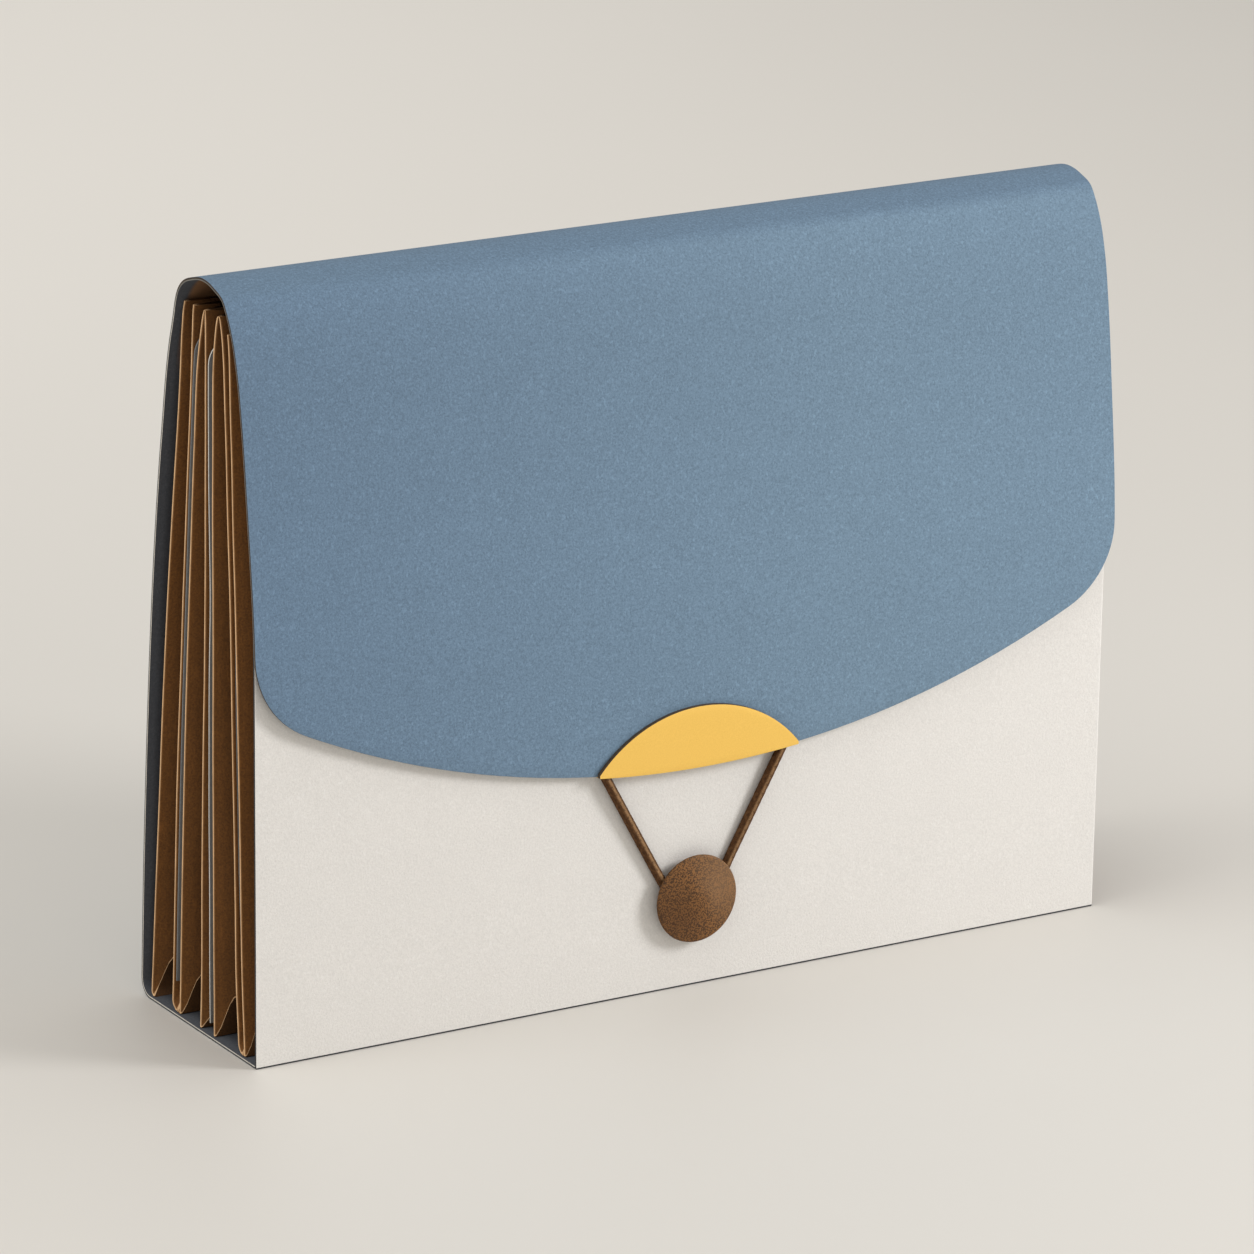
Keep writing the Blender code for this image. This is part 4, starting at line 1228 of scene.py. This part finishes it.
def cone_share(share):
    """How far up the head's cone is at a share of its radius: 1 in the middle, 0 at the rim."""
    soft = HEAD_SOFT_SHARE
    return (hypot(1.0, soft) - hypot(share, soft)) / (hypot(1.0, soft) - soft)


def make_button():
    """A shallow cone with a small flattened middle and a rounded rim, painted lighter to the upper right and
    darker to the left as light and shade.
    """
    under = CORD_GAP
    cone_foot = HEAD_RADIUS - RIM_ROUND
    profile = [(0.0, under), (cone_foot, under)]
    for middle, first in ((under + RIM_ROUND, RIM_STEP - 90), (under + HEAD_EDGE - RIM_ROUND, 0)):
        for degrees in range(first, first + 90, RIM_STEP):
            angle = radians(degrees)
            profile.append((cone_foot + RIM_ROUND * cos(angle), middle + RIM_ROUND * sin(angle)))
    for step in range(HEAD_ROWS + 1):
        share = 1 - step / HEAD_ROWS
        profile.append((cone_foot * share, under + HEAD_EDGE + HEAD_CROWN * cone_share(share)))

    def wear_and_painted_light(radius, angle):
        """Painted light: lightest towards the upper right and darkest at the left, fading out towards the
        middle.
        """
        share = radius / HEAD_RADIUS
        return 0.5 + 0.5 * smooth_step(share / LIT_SIDE_SHARE) * cos(angle - radians(LIT_SIDE_ANGLE))

    head = lathe("button_cone", profile, button_spot(), BUTTON, wear_and_painted_light)
    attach(head, "front_set")
    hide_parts("button_head")


def cord_route():
    """The loop's route: tab, leg, round the collar, leg, tab. The left end sits further out."""
    radius = CORD_GIRTH / 2
    bend = COLLAR_RADIUS + CLEARANCE + CORD_DIAMETER / 2
    low = tab_bounds(LOOP_SPREAD)[0] + CORD_TUCK
    end_y = flap_face(low, COVER_BOARD / 2)
    panel_y = front_outside(BUTTON_HEIGHT) - radius
    away = Vector((LOOP_SPREAD, low - BUTTON_HEIGHT))
    lean = atan2(away.x, away.y) + acos(bend / away.length)
    touch = pi / 2 - lean
    turn = []
    for step in range(TURN_STEPS + 1):
        angle = pi - touch + (pi + 2 * touch) * step / TURN_STEPS
        x, z = bend * cos(angle), BUTTON_HEIGHT + bend * sin(angle)
        turn.append(Vector((x, panel_y - ORIGIN_Y, z)))
    leg = []
    start, end = turn[-1], Vector((LOOP_SPREAD, end_y - ORIGIN_Y, low))
    for step in range(1, LEG_STEPS + 1):
        share = step / LEG_STEPS
        point = start.lerp(end, share)
        rim = (HEAD_RADIUS + CORD_DIAMETER) / (end - start).length
        point.y = start.y + (end.y - start.y) * max((share - rim) / (1 - rim), 0.0)
        leg.append(point)
    shift = (LEFT_SPREAD - LOOP_SPREAD) / LEG_STEPS
    mirrored = [
        Vector((-point.x - shift * step, point.y, point.z)) for step, point in enumerate(leg, 1)
    ]
    return mirrored[::-1] + turn + leg


def make_cord():
    """A braided elastic: crossing helical yarns raised from a round core."""
    route = np.array(cord_route())
    lengths = np.concatenate([[0.0], np.cumsum(np.linalg.norm(np.diff(route, axis=0), axis=1))])
    count = int(lengths[-1] / CORD_RING)
    places = np.linspace(0.0, lengths[-1], count)
    line = np.stack([np.interp(places, lengths, route[:, axis]) for axis in range(3)], axis=1)
    for _ in range(CORD_EASING):
        line[1:-1] = (line[:-2] + 2 * line[1:-1] + line[2:]) / 4
    along = np.gradient(line, axis=0)
    along /= np.linalg.norm(along, axis=1)[:, None]
    bm = bmesh.new()
    strand = bm.verts.layers.float.new("strand")
    relief = bm.verts.layers.float.new("relief")
    highlight_band = bm.verts.layers.float.new("highlight_band")
    rings = []
    for centre, ahead, place in zip(line, along, places):
        ahead = Vector(ahead)
        side = ahead.cross(Vector((0.0, 1.0, 0.0))).normalized()
        out = side.cross(ahead)
        ring = []
        for step in range(CORD_SIDES):
            angle = 2 * pi * step / CORD_SIDES
            twist = 2 * pi * place / BRAID_PITCH
            first = cos(BRAID_YARNS * angle + twist)
            second = cos(BRAID_YARNS * angle - twist)
            height = (1 + max(first, second)) / 2
            reach = CORD_GIRTH / 2 * (1 - BRAID_DEPTH * (1 - height))
            point = Vector(centre) + (side * cos(angle) + out * sin(angle)) * reach
            vert = bm.verts.new(point)
            vert[relief] = height
            # Painted highlight: a band along the side that faces the camera and the light
            facing = (point - Vector(centre)).normalized().dot(HIGHLIGHT_SIDE)
            vert[highlight_band] = smooth_step((facing - HIGHLIGHT_SHARP) / (1 - HIGHLIGHT_SHARP))
            lead = angle + twist / BRAID_YARNS if first > second else angle - twist / BRAID_YARNS
            vert[strand] = (1 + cos(lead * BRAID_TONES)) / 2
            ring.append(vert)
        rings.append(ring)
    join_rings(bm, rings, CORD_SIDES)
    bm.faces.new(rings[0][::-1])
    bm.faces.new(rings[-1])
    bmesh.ops.recalc_face_normals(bm, faces=bm.faces)
    cord = finish_mesh("braided_loop", bm, (CORD,))
    top = Vector((0.0, 0.0, FLAP_TIP_HEIGHT))
    bottom = Vector((0.0, 0.0, BUTTON_HEIGHT + HEAD_RADIUS))
    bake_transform(cord, "flap_set", "loop", top, bottom)
    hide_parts("elastic_loop")


BLUE = paper_look("blue_board_look", BLUE_BOARD, 0.20, relief=0.6, shade=painted_flap_light)
CREAM = paper_look("cream_board_look", CREAM_BOARD, 0.055, 0.006, 0.9, bloom=painted_edge_highlight)
LINING = paper_look("slate_lining_look", SLATE_LINING, 0.16, shade=painted_lining_shade, bloom=painted_mouth_shade)
GREY = paper_look("grey_card_look", GREY_CARD, 0.10)
CARD_EDGE = paper_look("card_edge_look", CARD_CORE, 0.12)
FRONT_EDGE = paper_look("front_edge_look", FRONT_CORE, 0.20)
BOARD_EDGE = core_look()
KRAFT_PAPER = kraft_look("kraft_paper_look", 1.0)
# A darker copy of the kraft, painted shade for the tents under the pockets
KRAFT_PAINTED_SHADE = kraft_look("kraft_painted_shade_look", 0.45)
KRAFT_CUT = paper_look("kraft_cut_look", KRAFT_CORE, 0.18, bloom=painted_deep_shade)
YELLOW = yellow_look()
TAB_SHADED_EDGE = shaded_rim_look()
BUTTON = button_look()
CORD = cord_look()
METAL = metal_look()

make_camera()
make_studio()
make_cover()
make_front()
make_tab()
for pocket in range(POCKETS):
    side_gusset(pocket, -1)
    side_gusset(pocket, 1)
    bottom_gusset(pocket)
make_button()
make_cord()
for index in range(POCKETS - 1):
    make_divider(index)
dress("tab_backing", YELLOW)
dress("button_collar", BUTTON)
dress("button_rivet", METAL)
dress("button_washer", METAL)
